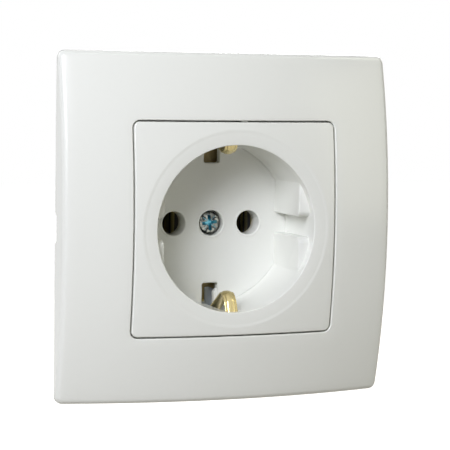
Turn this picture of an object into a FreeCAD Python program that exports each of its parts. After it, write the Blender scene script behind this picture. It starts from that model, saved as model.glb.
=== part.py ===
import FreeCAD, Part
import math
import os

# Type F wall socket, single, flush mounted. Millimetres.
# X points right and Z up as seen from the room. Y points into the wall.
# The origin is the centre of the wall plane behind the cover frame, so what
# stands in the room has a negative Y and what sinks into the box a positive Y.

# Cover frame and centre plate
frame_side = 81.5
frame_corner = 1.8
frame_wall = 2.0
frame_skin = 2.2
frame_edge = 1.2
dome_height = 12.4
corner_height = 1.515
plate_margin = 2.15
plate_corner = 1.4
plate_wall = 1.8
plate_skin = 2.0
plate_edge = 0.35
plate_gap = 0.5
ledge_height = 5.6
ledge_thickness = 1.6
ledge_width = 1.2
collar_wall = 1.5
frame_rib = 1.2
frame_rib_spacing = 34.0
notch_length = 7.0
notch_depth = 1.3
notch_slant = 0.7
key_place = 1.8
key_width = 1.5

# Recess for the plug
ring_width = 3.1
ring_sink = 0.175
recess_radius = 19.5
recess_draft = 0.1
recess_depth = 17.5
rim_round = 0.45
cup_wall = 1.6
floor_wall = 2.0
guide_depth = 2.85
guide_gap = 2.8
guide_height = 14.3
guide_round = 0.8
gusset_width = 1.2

# Holes in the recess floor
pin_spacing = 19.0
pin_hole_radius = 2.9
pin_length = 19.0
sleeve_wall = 1.1
sleeve_length = 1.6
screw_hole_radius = 3.05
screw_boss_wall = 0.95
screw_boss_depth = 4.6
floor_slot_width = 4.0
floor_slot_reach = 5.0
wall_slot_width = 3.6
wall_slot_inset = 1.2
wall_slot_height = 15.9

# Centre screw
screw_radius = 1.75
screw_head_radius = 2.75
screw_head_height = 2.3
screw_head_round = 0.7
screw_sunk = 0.9
screw_length = 9.0
screw_tip = 0.4
cross_reach = 1.7
cross_width = 0.65
cross_low_reach = 0.75
cross_low_width = 0.5
cross_depth = 1.3
cross_turn = 22.0

# Mounting plate
sheet = 1.2
mounting_margin = 3.25
mounting_corner = 7.0
box_screw_spacing = 60.0
box_hole_radius = 2.2
slot_angle = 24.0
corner_hole_inset = 8.0
corner_hole_radius = 1.8
leg_width = 7.0
leg_grip = 7.1
leg_bend = 1.4
leg_root = 4.0
leg_inset = 0.8
leg_step = 0.2
leg_side_cut = 0.6
lug_height = 1.1
lug_length = 2.4
window_width = 3.6
window_length = 3.0
window_back = 1.6

# Insulating base and its rear cover
base_margin = 5.9
base_wall = 1.8
base_web = 1.2
base_tail_room = 1.5
chamber_wall = 1.4
chamber_depth_room = 0.3
cover_wall = 2.0
cover_lip = 1.6
lip_wall = 1.2
cover_screw_inset = 9.5
cover_screw_radius = 1.45
cover_screw_head_radius = 2.6
cover_screw_head_height = 1.3
cover_screw_length = 10.0
cover_boss_radius = 3.2
entry_radius = 1.7
entry_funnel = 0.7
entry_spacing = 4.2

# Live and neutral contacts
contact_sheet = 0.6
contact_half_height = 3.2
contact_mouth = 3.2
contact_pinch = 2.15
contact_throat = 2.7
contact_length = 12.4
contact_bend = 0.9
flare_length = 2.3
pinch_length = 2.8
throat_start = 6.7
tail_start = 5.2
tail_width = 3.4
spring_sheet = 0.4
spring_width = 2.2

# Screw terminals
cage_wall = 0.9
cage_corner = 0.6
cage_height = 8.0
cage_half_width = 4.4
cage_length = 5.6
wire_room = 2.5
tail_inset = 5.8
earth_tail_inset = 6.8
terminal_screw_radius = 1.75
terminal_head_radius = 2.7
terminal_head_height = 2.0
terminal_head_edge = 0.3
terminal_slot_width = 0.8
terminal_slot_depth = 1.0

# Earth strap with its two side clips, and their backing springs
strap_sheet = 0.8
strap_width = 5.6
strap_end_gap = 1.9
strap_collar_radius = 2.6
strap_collar_length = 2.0
clip_width = 2.7
clip_bow = 0.4
clip_leg_gap = 1.6
clip_leg_height = 4.0
nose_bend = 1.8
upper_nose_reach = 2.3
upper_nose_height = 10.6
upper_end_height = 13.4
lower_nose_reach = 4.6
lower_nose_height = 11.6
lower_end_height = 15.0
clip_end_gap = 0.7
earth_tab_place = 5.6
earth_tab_width = 6.4
earth_tab_length = 6.2
tab_bend = 1.2
backing_sheet = 0.4
tongue_width = 2.2
tongue_length = 3.3
shoulder_inset = 3.1
backing_window_length = 2.3
backing_width = 4.6
backing_turn_height = 9.9
backing_tip_lean = 1.0
backing_tip_height = 13.9
backing_bend = 0.7

# Clearances
slide_gap = 0.1
thread_gap = 0.05
seat_gap = 0.1
free_gap = 0.3

# Places that follow from the sizes above
frame_half = frame_side / 2
dome_sagitta = dome_height - corner_height
dome_radius = (2 * frame_half**2 + dome_sagitta**2) / (2 * dome_sagitta)
dome_centre = dome_radius - dome_height
ring_radius = recess_radius + ring_width
ring_height = math.sqrt(dome_radius**2 - ring_radius**2) - dome_centre - ring_sink
plate_half = ring_radius + plate_margin
opening_half = plate_half + plate_gap
guide_face = recess_radius - guide_depth
cup_radius = recess_radius + cup_wall
floor_front = recess_depth - ring_height
floor_back = floor_front + floor_wall
sleeve_end = floor_back + sleeve_length
boss_end = floor_front + screw_boss_depth
screw_seat = floor_front + screw_sunk + screw_head_height
strap_front = boss_end + seat_gap
strap_back = strap_front + strap_sheet
base_front = floor_back
chamber_front = sleeve_end + slide_gap + base_web
contact_front = chamber_front + chamber_depth_room
base_back = floor_front + pin_length + base_tail_room
cover_back = base_back + cover_wall
pin_place = pin_spacing / 2
base_radius = cup_radius + base_margin
mounting_half = frame_half - frame_wall - mounting_margin
corner_hole_place = mounting_half - corner_hole_inset
leg_place = base_radius - sheet - leg_inset
leg_reach = base_front + leg_grip
mounting_hole_radius = leg_place - leg_step
cover_screw_place = base_radius - cover_screw_inset
tail_outer = base_radius - tail_inset
earth_tail_outer = base_radius - earth_tail_inset
tail_front = contact_front + tail_start
tail_back = tail_front + tail_width
cage_front = tail_back + free_gap
cage_back = cage_front + cage_length
contact_back = contact_front + contact_length
web_height = contact_half_height + contact_sheet
screw_end = screw_seat + screw_length
strap_middle = strap_front + strap_sheet / 2
clip_leg_place = cup_radius + clip_leg_gap
strap_end = clip_leg_place - nose_bend - strap_end_gap
channel_end = clip_leg_place + strap_sheet / 2 + backing_sheet + 3 * free_gap
leaf_room = contact_mouth + contact_sheet + free_gap


def point(x, y, z):
    return FreeCAD.Vector(x, y, z)


def block(x, y, z):
    """Box between the two values of each pair."""
    corner = point(min(x), min(y), min(z))
    return Part.makeBox(abs(x[1] - x[0]), abs(y[1] - y[0]), abs(z[1] - z[0]), corner)


def rod(radius, y, x=0.0, z=0.0):
    """Round bar along Y between the two values of the pair y."""
    length = y[1] - y[0]
    return Part.makeCylinder(radius, length, point(x, y[0], z), point(0, 1, 0))


def square_prism(half, corner, y):
    """Square bar along Y with rounded corners."""
    prism = block((-half, half), y, (-half, half))
    long_edges = [e for e in prism.Edges if abs(e.tangentAt(e.FirstParameter).y) > 0.9]
    return prism.makeFillet(corner, long_edges)


def dome(radius):
    """Ball whose near side is the pillow shape of the front."""
    return Part.makeSphere(radius, point(0, dome_centre, 0))


def turned(shape, degrees):
    """Copy of a shape turned about the Y axis through the origin."""
    copy = shape.copy()
    copy.rotate(point(0, 0, 0), point(0, 1, 0), degrees)
    return copy


def mirrored(shape, normal):
    return shape.mirror(point(0, 0, 0), normal)


def joined(shapes):
    first = shapes[0]
    return first.fuse(shapes[1:]).removeSplitter()


def bent_line(corners, bend, offset, place):
    """Edges along a line with rounded bends, shifted to its left by offset."""
    steps = []
    for start, end in zip(corners, corners[1:]):
        length = math.hypot(end[0] - start[0], end[1] - start[1])
        steps.append(((end[0] - start[0]) / length, (end[1] - start[1]) / length))

    def beside(spot, step, distance):
        return (spot[0] - step[1] * distance, spot[1] + step[0] * distance)

    edges = []
    last = beside(corners[0], steps[0], offset)
    for corner, before, after in zip(corners[1:-1], steps, steps[1:]):
        side = 1 if before[0] * after[1] - before[1] * after[0] > 0 else -1
        turn = math.acos(before[0] * after[0] + before[1] * after[1])
        reach = bend * math.tan(turn / 2)
        arc_start = (corner[0] - before[0] * reach, corner[1] - before[1] * reach)
        arc_end = (corner[0] + after[0] * reach, corner[1] + after[1] * reach)
        centre = beside(arc_start, before, side * bend)
        away = math.hypot(corner[0] - centre[0], corner[1] - centre[1])
        scale = (bend - side * offset) / away
        middle = (centre[0] + (corner[0] - centre[0]) * scale,
                  centre[1] + (corner[1] - centre[1]) * scale)
        first = beside(arc_start, before, offset)
        second = beside(arc_end, after, offset)
        edges.append(Part.LineSegment(place(*last), place(*first)).toShape())
        edges.append(Part.Arc(place(*first), place(*middle), place(*second)).toShape())
        last = second
    end = beside(corners[-1], steps[-1], offset)
    edges.append(Part.LineSegment(place(*last), place(*end)).toShape())
    return edges


def bent_sheet(corners, bend, thickness, place, width):
    """Sheet strip bent along a line. The vector width carries the section across."""
    left = bent_line(corners, bend, thickness / 2, place)
    right = bent_line(corners, bend, -thickness / 2, place)
    starts = (left[0].Vertexes[0].Point, right[0].Vertexes[0].Point)
    ends = (left[-1].Vertexes[-1].Point, right[-1].Vertexes[-1].Point)
    caps = [Part.LineSegment(*starts).toShape(), Part.LineSegment(*ends).toShape()]
    outline = Part.Wire(Part.__sortEdges__(left + right + caps))
    section = Part.Face(outline)
    section.translate(width * -0.5)
    return section.extrude(width)


def make_cover_frame():
    """Pillow-shaped moulding with a square opening, ribbed behind."""
    rear = 0.0
    ahead = -dome_height - 1
    outer = square_prism(frame_half, frame_corner, (ahead, rear)).common(dome(dome_radius))
    front_edges = [e for e in outer.Edges if e.BoundBox.YMax < -0.5
                   and e.BoundBox.YMax - e.BoundBox.YMin < dome_height / 2]
    outer = outer.makeFillet(frame_edge, [e for e in front_edges if not is_upright(e)])
    inside_half = frame_half - frame_wall
    hollow = square_prism(inside_half, frame_corner, (ahead, rear))
    hollow = hollow.common(dome(dome_radius - frame_skin))
    shell = outer.cut(hollow)
    collar = square_prism(opening_half + collar_wall, plate_corner + collar_wall, (ahead, -sheet))
    collar = collar.common(dome(dome_radius - frame_skin / 2))
    ribs = []
    for place in (-frame_rib_spacing / 2, frame_rib_spacing / 2):
        across = (place - frame_rib / 2, place + frame_rib / 2)
        reach = (-frame_half + frame_wall / 2, frame_half - frame_wall / 2)
        ribs.append(block(across, (ahead, -sheet - free_gap), reach))
        ribs.append(block(reach, (ahead, -sheet - free_gap), across))
    ribs = [rib.common(hollow) for rib in ribs]
    frame = shell.fuse([collar] + ribs)
    opening = square_prism(opening_half, plate_corner + plate_gap, (ahead, -ledge_height))
    through = square_prism(opening_half - ledge_width, plate_corner, (ahead, rear))
    below_ledge = square_prism(opening_half, plate_corner, (-ledge_height + ledge_thickness, rear))
    frame = frame.cut([opening, through, below_ledge]).removeSplitter()
    frame = frame.makeFillet(plate_edge, opening_edges(frame, opening_half))
    frame = frame.cut(screwdriver_notch())
    key = block((key_place - key_width / 2, key_place + key_width / 2),
                (-dome_height + frame_skin + free_gap, -ledge_height),
                (opening_half - plate_gap + thread_gap, opening_half + collar_wall / 2))
    return frame.fuse(key).removeSplitter()


def is_upright(edge):
    """True for a straight edge that runs along Y."""
    box = edge.BoundBox
    return box.XLength < 0.01 and box.ZLength < 0.01


def opening_edges(shape, half):
    """Front edges of a square opening or plate of the given half side."""
    found = []
    for edge in shape.Edges:
        middle = edge.valueAt((edge.FirstParameter + edge.LastParameter) / 2)
        reach = max(abs(middle.x), abs(middle.z))
        on_side = half - plate_corner - plate_gap < reach < half + 0.01
        if on_side and middle.y < -ledge_height - 0.5 and not is_upright(edge):
            found.append(edge)
    return found


def screwdriver_notch():
    """Wedge-ended notch in the left rear edge, for levering the cover off."""
    half = notch_length / 2
    corners = [(-half, 1), (-half, 0), (-half + notch_slant, -notch_depth),
               (half - notch_slant, -notch_depth), (half, 0), (half, 1)]
    start = -frame_half - 1
    outline = Part.makePolygon([point(start, y, z) for z, y in corners + corners[:1]])
    return Part.Face(outline).extrude(point(2 * frame_wall, 0, 0))


def recess_space():
    """The round space for the plug, with its rounded rim, as turned."""
    top = -ring_height
    rim = recess_radius + rim_round
    deep = recess_radius - recess_draft
    middle = rim_round * (1 - math.sqrt(0.5))
    corners = [point(0, top - 5, 0), point(rim, top - 5, 0), point(rim, top, 0)]
    edges = [Part.LineSegment(a, b).toShape() for a, b in zip(corners, corners[1:])]
    low = point(recess_radius, top + rim_round, 0)
    bow = point(recess_radius + middle, top + middle, 0)
    edges.append(Part.Arc(corners[-1], bow, low).toShape())
    rest = [low, point(deep, floor_front, 0), point(0, floor_front, 0), corners[0]]
    edges += [Part.LineSegment(a, b).toShape() for a, b in zip(rest, rest[1:])]
    face = Part.Face(Part.Wire(edges))
    return face.revolve(point(0, 0, 0), point(0, 1, 0), 360)


def plug_guides():
    """Two pairs of ribs that stand on the recess floor at left and right."""
    top = floor_front - guide_height
    reach = recess_radius + cup_wall / 2
    rib = block((guide_face, reach), (top, floor_back), (guide_gap, reach))
    front = [e for e in rib.Edges if abs(e.BoundBox.YMax - top) < 0.01 and (
        abs(e.BoundBox.XMax - guide_face) < 0.01 or abs(e.BoundBox.ZMax - guide_gap) < 0.01)]
    rib = rib.makeFillet(guide_round, front)
    rib = rib.common(rod(recess_radius + cup_wall / 2, (top - 1, floor_back)))
    pair = [rib, mirrored(rib, point(0, 0, 1))]
    return pair + [mirrored(one, point(1, 0, 0)) for one in pair]


def clip_slots():
    """Slots at top and bottom through the recess floor and on through its wall."""
    outside = cup_radius + 1
    floor_slot = block((-floor_slot_width / 2, floor_slot_width / 2),
                       (floor_front - 0.01, floor_back + 1), (recess_radius - floor_slot_reach, outside))
    wall_slot = block((-wall_slot_width / 2, wall_slot_width / 2),
                      (floor_front - wall_slot_height, floor_back + 1),
                      (recess_radius - wall_slot_inset, outside))
    slot = floor_slot.fuse(wall_slot)
    return [slot, mirrored(slot, point(0, 0, 1))]


def make_centre_plate():
    """Square plate and plug recess, moulded in one piece."""
    ahead = -dome_height - 1
    rear = -ledge_height
    plate = square_prism(plate_half, plate_corner, (ahead, rear)).common(dome(dome_radius))
    plate = plate.makeFillet(plate_edge, opening_edges(plate, plate_half))
    hollow = square_prism(plate_half - plate_wall, plate_corner, (ahead, rear))
    hollow = hollow.common(dome(dome_radius - plate_skin))
    plate = plate.cut(hollow)
    cup = rod(cup_radius, (-ring_height - slide_gap, floor_back))
    gussets = []
    for angle in (45, 135):
        bar = block((-2 * plate_half, 2 * plate_half), (-ring_height, rear),
                    (-gusset_width / 2, gusset_width / 2))
        gussets.append(turned(bar, angle).common(hollow))
    plate = plate.fuse([cup] + gussets)
    plate = plate.cut(rod(ring_radius, (ahead - 1, -ring_height)))
    plate = plate.cut(recess_space())
    sleeves = [rod(pin_hole_radius + sleeve_wall, (floor_front + 1, sleeve_end), side * pin_place)
               for side in (-1, 1)]
    boss = rod(screw_hole_radius + screw_boss_wall, (floor_front + 1, boss_end))
    plate = plate.fuse(sleeves + [boss] + plug_guides())
    holes = [rod(pin_hole_radius, (floor_front - 1, sleeve_end + 1), side * pin_place)
             for side in (-1, 1)]
    holes.append(rod(screw_hole_radius, (floor_front - 1, screw_seat)))
    holes.append(rod(screw_radius + free_gap, (floor_front, boss_end + 1)))
    return plate.cut(holes + clip_slots()).removeSplitter()


def make_centre_screw():
    """Pan-head screw with a cross recess, sunk in the recess floor."""
    top = screw_seat - screw_head_height
    head = rod(screw_head_radius, (top, screw_seat))
    top_edge = [e for e in head.Edges if e.BoundBox.YMax < top + 0.01]
    head = head.makeFillet(screw_head_round, top_edge)
    shank = rod(screw_radius, (screw_seat - slide_gap, screw_end))
    tip = [e for e in shank.Edges if e.BoundBox.YMin > screw_end - 0.01]
    shank = shank.makeChamfer(screw_tip, tip)
    return head.fuse(shank).cut(cross_recess(top)).removeSplitter()


def cross_recess(top):
    """Tapered four-armed recess, as a cutter that starts at the head's top."""
    arms = []
    for angle in (cross_turn, cross_turn + 90):
        outlines = []
        for depth, reach, width in ((-slide_gap, cross_reach, cross_width),
                                    (cross_depth, cross_low_reach, cross_low_width)):
            half = width / 2
            corners = [(-reach, -half), (reach, -half), (reach, half), (-reach, half), (-reach, -half)]
            outlines.append(Part.makePolygon([point(x, top + depth, z) for x, z in corners]))
        arms.append(turned(Part.makeLoft(outlines, True), angle))
    return arms[0].fuse(arms[1])


def make_mounting_plate():
    """Galvanised plate on the wall, with four legs folded back round the base."""
    plate = square_prism(mounting_half, mounting_corner, (-sheet, 0))
    leg_angles = [45 + 90 * number for number in range(4)]
    reliefs = [turned(leg_relief(), angle) for angle in leg_angles]
    plate = plate.cut([rod(mounting_hole_radius, (-sheet - 1, 1))] + reliefs)
    plate = plate.fuse([turned(mounting_leg(), angle) for angle in leg_angles])
    holes = [rod(box_hole_radius, (-sheet - 1, 1), side * box_screw_spacing / 2) for side in (-1, 1)]
    for across in (-1, 1):
        for up in (-1, 1):
            holes.append(rod(corner_hole_radius, (-sheet - 1, 1),
                             across * corner_hole_place, up * corner_hole_place))
    holes += [curved_slot(), turned(curved_slot(), 180)]
    return plate.cut(holes).removeSplitter()


def leg_relief():
    """Room cut in the plate beside and behind the bend of one leg."""
    half = leg_width / 2 + leg_side_cut
    return block((mounting_hole_radius - 2, leg_place + leg_root), (-sheet - 1, 1), (-half, half))


def mounting_leg():
    """One leg at the right, folded from the edge of the round hole."""
    middle = leg_place + sheet / 2
    corners = [(leg_place + leg_root + slide_gap, -sheet / 2), (middle, -sheet / 2), (middle, leg_reach)]
    leg = bent_sheet(corners, leg_bend, sheet, lambda x, y: point(x, y, 0), point(0, 0, leg_width))
    far = leg_reach - window_back
    window = block((middle - 2, middle + 2), (far - window_length, far),
                   (-window_width / 2, window_width / 2))
    return leg.cut(window)


def curved_slot():
    """Slot along the fixing circle at the top, for turning the plate level."""
    radius = box_screw_spacing / 2
    ring = rod(radius + box_hole_radius, (-sheet - 1, 1)).cut(rod(radius - box_hole_radius, (-sheet - 2, 2)))
    far = radius * 2
    spread = math.tan(math.radians(slot_angle / 2)) * far
    corners = [point(0, -sheet - 1, 0), point(-spread, -sheet - 1, far), point(spread, -sheet - 1, far)]
    wedge = Part.Face(Part.makePolygon(corners + corners[:1])).extrude(point(0, sheet + 2, 0))
    slot = ring.common(wedge)
    turn = math.radians(slot_angle / 2)
    for side in (-1, 1):
        slot = slot.fuse(rod(box_hole_radius, (-sheet - 1, 1),
                             side * radius * math.sin(turn), radius * math.cos(turn)))
    return slot.removeSplitter()


def contact_pockets(margin):
    """Spaces at the right for one pin contact, its tail and its clamp, each wider by margin."""
    low = -contact_half_height - spring_sheet - free_gap - slide_gap
    high = web_height + slide_gap
    contact = block((pin_place - leaf_room - margin, pin_place + leaf_room + margin),
                    (chamber_front, base_back), (low - margin, high + margin))
    tail = block((pin_place, tail_outer + free_gap + margin), (tail_front - free_gap - margin, base_back),
                 (-web_height - margin, high + margin))
    return [contact, tail, clamp_pocket(tail_outer, contact_sheet, margin)]


def clamp_pocket(tail_face, tail_sheet, margin):
    """Space at the right for a cage clamp, open to the side."""
    inner = tail_face - tail_sheet - wire_room - cage_wall - free_gap
    half = cage_half_width + slide_gap + margin
    front = cage_front - seat_gap - margin
    return block((inner - margin, base_radius + 1), (front, base_back), (-half, half))


def earth_place(shape):
    """Moves a clamp part from the right-hand place to the earth terminal at the top."""
    return turned(shape, -90).translated(point(earth_tab_place, 0, 0))


def earth_pockets(margin):
    """Spaces at the top for the strap's tail, its bend and its clamp."""
    half = earth_tab_width / 2 + 2 * slide_gap + margin
    back = earth_tail_outer - strap_sheet / 2 - tab_bend - 2 * slide_gap - margin
    tail = block((earth_tab_place - half, earth_tab_place + half), (strap_front, base_back),
                 (back, earth_tail_outer + 2 * slide_gap + margin))
    return [tail, earth_place(clamp_pocket(earth_tail_outer, strap_sheet, margin))]


def all_pockets(margin):
    right = contact_pockets(margin)
    left = [mirrored(one, point(1, 0, 0)) for one in right]
    return right + left + earth_pockets(margin)


def cover_screw_places():
    across = cover_screw_place * math.sqrt(0.5)
    return [(-across, across), (across, -across)]


def strap_channel():
    """Channel across the front of the base for the earth strap and its tab."""
    half = strap_width / 2 + slide_gap
    channel = block((-half, half), (base_front - 1, strap_back), (-channel_end, channel_end))
    tab_edge = earth_tab_place + earth_tab_width / 2 + 2 * slide_gap
    tab = block((0, tab_edge), (base_front - 1, strap_back),
                (earth_tail_outer - earth_tab_length - 2 * slide_gap, earth_tail_outer + 2 * slide_gap))
    return [channel, tab]


def leg_groove():
    """Flat groove at the right for one leg of the mounting plate, less its catch."""
    half = leg_width / 2 + slide_gap
    groove = block((leg_place, base_radius + 1), (base_front - 1, leg_reach + free_gap), (-half, half))
    catch_back = leg_reach - window_back - slide_gap
    root = leg_place - slide_gap
    corners = [(root, catch_back - lug_length), (leg_place, catch_back - lug_length),
               (leg_place + lug_height, catch_back), (root, catch_back)]
    outline = Part.makePolygon([point(x, y, 0) for x, y in corners + corners[:1]])
    lug_width = window_width - 4 * slide_gap
    lug = Part.Face(outline).extrude(point(0, 0, lug_width)).translated(point(0, 0, -lug_width / 2))
    return groove.cut(lug)


def make_socket_base():
    """Round insulating body, hollow behind, with a walled pocket for each live piece."""
    body = rod(base_radius, (base_front, base_back))
    cavity_front = strap_back + base_web
    hollow = rod(base_radius - base_wall, (cavity_front, base_back + 1))
    leg_angles = [45 + 90 * number for number in range(4)]
    backing = block((leg_place - base_wall, base_radius), (base_front, leg_reach + base_wall),
                    (-leg_width / 2 - base_wall, leg_width / 2 + base_wall))
    kept = all_pockets(chamber_wall) + [turned(backing, angle) for angle in leg_angles]
    kept += [rod(cover_boss_radius, (base_front, base_back + 2), x, z) for x, z in cover_screw_places()]
    kept.append(rod(strap_collar_radius + chamber_wall, (base_front, screw_end + base_web)))
    body = body.cut(hollow.cut(kept))
    cuts = all_pockets(0) + strap_channel() + [turned(leg_groove(), angle) for angle in leg_angles]
    for side in (-1, 1):
        cuts.append(rod(pin_hole_radius + sleeve_wall + slide_gap,
                        (base_front - 1, sleeve_end + slide_gap), side * pin_place))
        cuts.append(rod(pin_hole_radius, (base_front - 1, chamber_front + 1), side * pin_place))
    cuts.append(rod(screw_hole_radius + screw_boss_wall + slide_gap, (base_front - 1, strap_front)))
    cuts.append(rod(strap_collar_radius + slide_gap,
                    (base_front, strap_back + strap_collar_length + free_gap)))
    cuts.append(rod(screw_radius + free_gap, (base_front, screw_end + free_gap)))
    for x, z in cover_screw_places():
        depth = cover_screw_length + free_gap
        cuts.append(rod(cover_screw_radius + thread_gap, (base_back - depth, base_back + 1), x, z))
    return body.cut(cuts).removeSplitter()


def wire_places():
    """Centres of the six wire entries in the rear cover."""
    across = tail_outer - contact_sheet - wire_room / 2
    up = earth_tail_outer - strap_sheet - wire_room / 2
    half = entry_spacing / 2
    sides = [(side * across, step * half) for side in (-1, 1) for step in (-1, 1)]
    return sides + [(earth_tab_place + step * half, up) for step in (-1, 1)]


def make_rear_cover():
    """Disc with a locating lip, wire entries and ribs that hold the contacts forward."""
    disc = rod(base_radius, (base_back, cover_back))
    rear_edge = [e for e in disc.Edges if e.BoundBox.YMin > cover_back - 0.01]
    disc = disc.makeFillet(cover_wall / 4, rear_edge)
    lip_radius = base_radius - base_wall - slide_gap
    lip = rod(lip_radius, (base_back - cover_lip, base_back)).cut(
        rod(lip_radius - lip_wall, (base_back - cover_lip - 1, base_back + 1)))
    lip = lip.cut(all_pockets(chamber_wall + slide_gap))
    ribs = []
    for side in (-1, 1):
        for leaf in (-1, 1):
            middle = side * pin_place + leaf * (contact_throat + contact_sheet / 2)
            ribs.append(block((middle - contact_sheet, middle + contact_sheet),
                              (contact_back + seat_gap, base_back + seat_gap),
                              (-contact_half_height, contact_half_height)))
    cover = disc.fuse([lip] + ribs)
    cuts = []
    for x, z in wire_places():
        cuts.append(rod(entry_radius, (base_back - 1, cover_back + 1), x, z))
        cuts.append(Part.makeCone(entry_radius, entry_radius + entry_funnel, entry_funnel,
                                  point(x, cover_back - entry_funnel, z), point(0, 1, 0)))
    for x, z in cover_screw_places():
        cuts.append(rod(cover_screw_radius + free_gap, (base_back - 2, cover_back + 1), x, z))
    return cover.cut(cuts).removeSplitter()


def make_cover_screw(number):
    """Self-tapping screw that holds the rear cover, with a domed head."""
    x, z = cover_screw_places()[number]
    top = cover_back + cover_screw_head_height
    head = rod(cover_screw_head_radius, (cover_back, top), x, z)
    top_edge = [e for e in head.Edges if e.BoundBox.YMin > top - 0.01]
    head = head.makeFillet(cover_screw_head_height / 2, top_edge)
    start = base_back - cover_screw_length
    shank = rod(cover_screw_radius, (start, cover_back + slide_gap), x, z)
    tip = [e for e in shank.Edges if e.BoundBox.YMax < start + 0.01]
    shank = shank.makeChamfer(cover_screw_radius / 2, tip)
    slot = cross_recess(0)
    slot.rotate(point(0, 0, 0), point(0, 0, 1), 180)
    return head.fuse(shank).cut(slot.translated(point(x, top, z))).removeSplitter()


def upright(x, y):
    return point(x, y, 0)


def contact_leaf():
    """Outer spring leaf of the right-hand contact: flared mouth, pinch and throat."""
    half = contact_sheet / 2
    stations = [(contact_mouth, 0), (contact_pinch, flare_length),
                (contact_pinch, flare_length + pinch_length),
                (contact_throat, throat_start), (contact_throat, contact_length)]
    corners = [(pin_place + place + half, contact_front + depth) for place, depth in stations]
    return bent_sheet(corners, contact_bend, contact_sheet, upright, point(0, 0, 2 * contact_half_height))


def make_contact(side):
    """Folded brass contact: two leaves for the pin, a web and a tail into the clamp."""
    leaf = contact_leaf()
    other = leaf.mirror(point(pin_place, 0, 0), point(1, 0, 0))
    outer = contact_throat + contact_sheet
    web = block((pin_place - outer, pin_place + outer), (contact_front + throat_start, contact_back),
                (contact_half_height, web_height))
    middle = tail_outer - contact_sheet / 2
    height = contact_half_height + contact_sheet / 2
    corners = [(pin_place, height), (middle, height), (middle, -contact_half_height)]
    across = (tail_front + tail_back) / 2
    tail = bent_sheet(corners, contact_bend, contact_sheet, lambda x, z: point(x, across, z),
                      point(0, tail_width, 0))
    clamped = block((tail_outer - contact_sheet, tail_outer), (tail_front, cage_back + free_gap),
                    (-contact_half_height, contact_half_height - contact_bend))
    contact = joined([leaf, other, web, tail, clamped])
    return contact if side > 0 else mirrored(contact, point(1, 0, 0))


def make_contact_spring(side):
    """Steel stirrup that squeezes the two leaves at their pinch."""
    leg = contact_pinch + contact_sheet + thread_gap + spring_sheet / 2
    bottom = -contact_half_height - slide_gap - spring_sheet / 2
    top = contact_half_height - free_gap
    corners = [(pin_place - leg, top), (pin_place - leg, bottom), (pin_place + leg, bottom),
               (pin_place + leg, top)]
    depth = contact_front + flare_length + pinch_length / 2
    spring = bent_sheet(corners, contact_bend / 2, spring_sheet, lambda x, z: point(x, depth, z),
                        point(0, spring_width, 0))
    return spring if side > 0 else mirrored(spring, point(1, 0, 0))


def clamp_cage(tail_face, tail_sheet):
    """Square cage at the right that lifts the wire against the tail."""
    inner = tail_face - tail_sheet - wire_room - cage_wall
    cage = block((inner, inner + cage_height), (cage_front, cage_back), (-cage_half_width, cage_half_width))
    long_edges = [e for e in cage.Edges if e.BoundBox.YLength > cage_length / 2]
    cage = cage.makeFillet(cage_corner, long_edges)
    inside = cage_half_width - cage_wall
    room = block((inner + cage_wall, inner + cage_height - cage_wall), (cage_front - 1, cage_back + 1),
                 (-inside, inside))
    middle = point(inner + cage_height / 2, (cage_front + cage_back) / 2, 0)
    thread = Part.makeCylinder(terminal_screw_radius + thread_gap, cage_height, middle, point(1, 0, 0))
    return cage.cut([room, thread])


def clamp_screw(tail_face, tail_sheet):
    """Slotted screw at the right, through the cage and down on the tail."""
    outer = tail_face - tail_sheet - wire_room - cage_wall + cage_height
    seat = outer + free_gap
    middle = (cage_front + cage_back) / 2
    start = tail_face + thread_gap
    along = point(1, 0, 0)
    shank = Part.makeCylinder(terminal_screw_radius, seat - start + slide_gap, point(start, middle, 0), along)
    head = Part.makeCylinder(terminal_head_radius, terminal_head_height, point(seat, middle, 0), along)
    far = seat + terminal_head_height
    rim = [e for e in head.Edges if e.BoundBox.XMin > far - 0.01]
    head = head.makeChamfer(terminal_head_edge, rim)
    slot = block((far - terminal_slot_depth, far + 1), (middle - terminal_slot_width / 2,
                 middle + terminal_slot_width / 2), (-terminal_head_radius - 1, terminal_head_radius + 1))
    return shank.fuse(head).cut(slot).removeSplitter()


def make_terminal(side):
    cage = clamp_cage(tail_outer, contact_sheet)
    return cage if side > 0 else mirrored(cage, point(1, 0, 0))


def make_terminal_screw(side):
    screw = clamp_screw(tail_outer, contact_sheet)
    return screw if side > 0 else mirrored(screw, point(1, 0, 0))


def make_earth_terminal():
    return earth_place(clamp_cage(earth_tail_outer, strap_sheet))


def make_earth_terminal_screw():
    return earth_place(clamp_screw(earth_tail_outer, strap_sheet))


def side_clip(nose_reach, nose_height, end_height):
    """Bowed spring finger at the top, from the strap's end to its free tip."""
    corners = [(strap_end, -strap_middle), (clip_leg_place, -strap_middle),
               (clip_leg_place, clip_leg_height - strap_middle),
               (recess_radius - nose_reach, nose_height - floor_front),
               (recess_radius + clip_end_gap, end_height - floor_front)]
    spine = Part.Wire(bent_line(corners, nose_bend, 0, lambda up, out: point(0, -out, up)))
    half = clip_width / 2
    edge = strap_front + clip_bow
    corners = [point(-half, edge, strap_end), point(-half, strap_back, strap_end),
               point(half, strap_back, strap_end), point(half, edge, strap_end)]
    edges = [Part.LineSegment(a, b).toShape() for a, b in zip(corners, corners[1:])]
    edges.append(Part.Arc(corners[-1], point(0, strap_front, strap_end), corners[0]).toShape())
    return spine.makePipeShell([Part.Wire(edges)], True, False)


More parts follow.
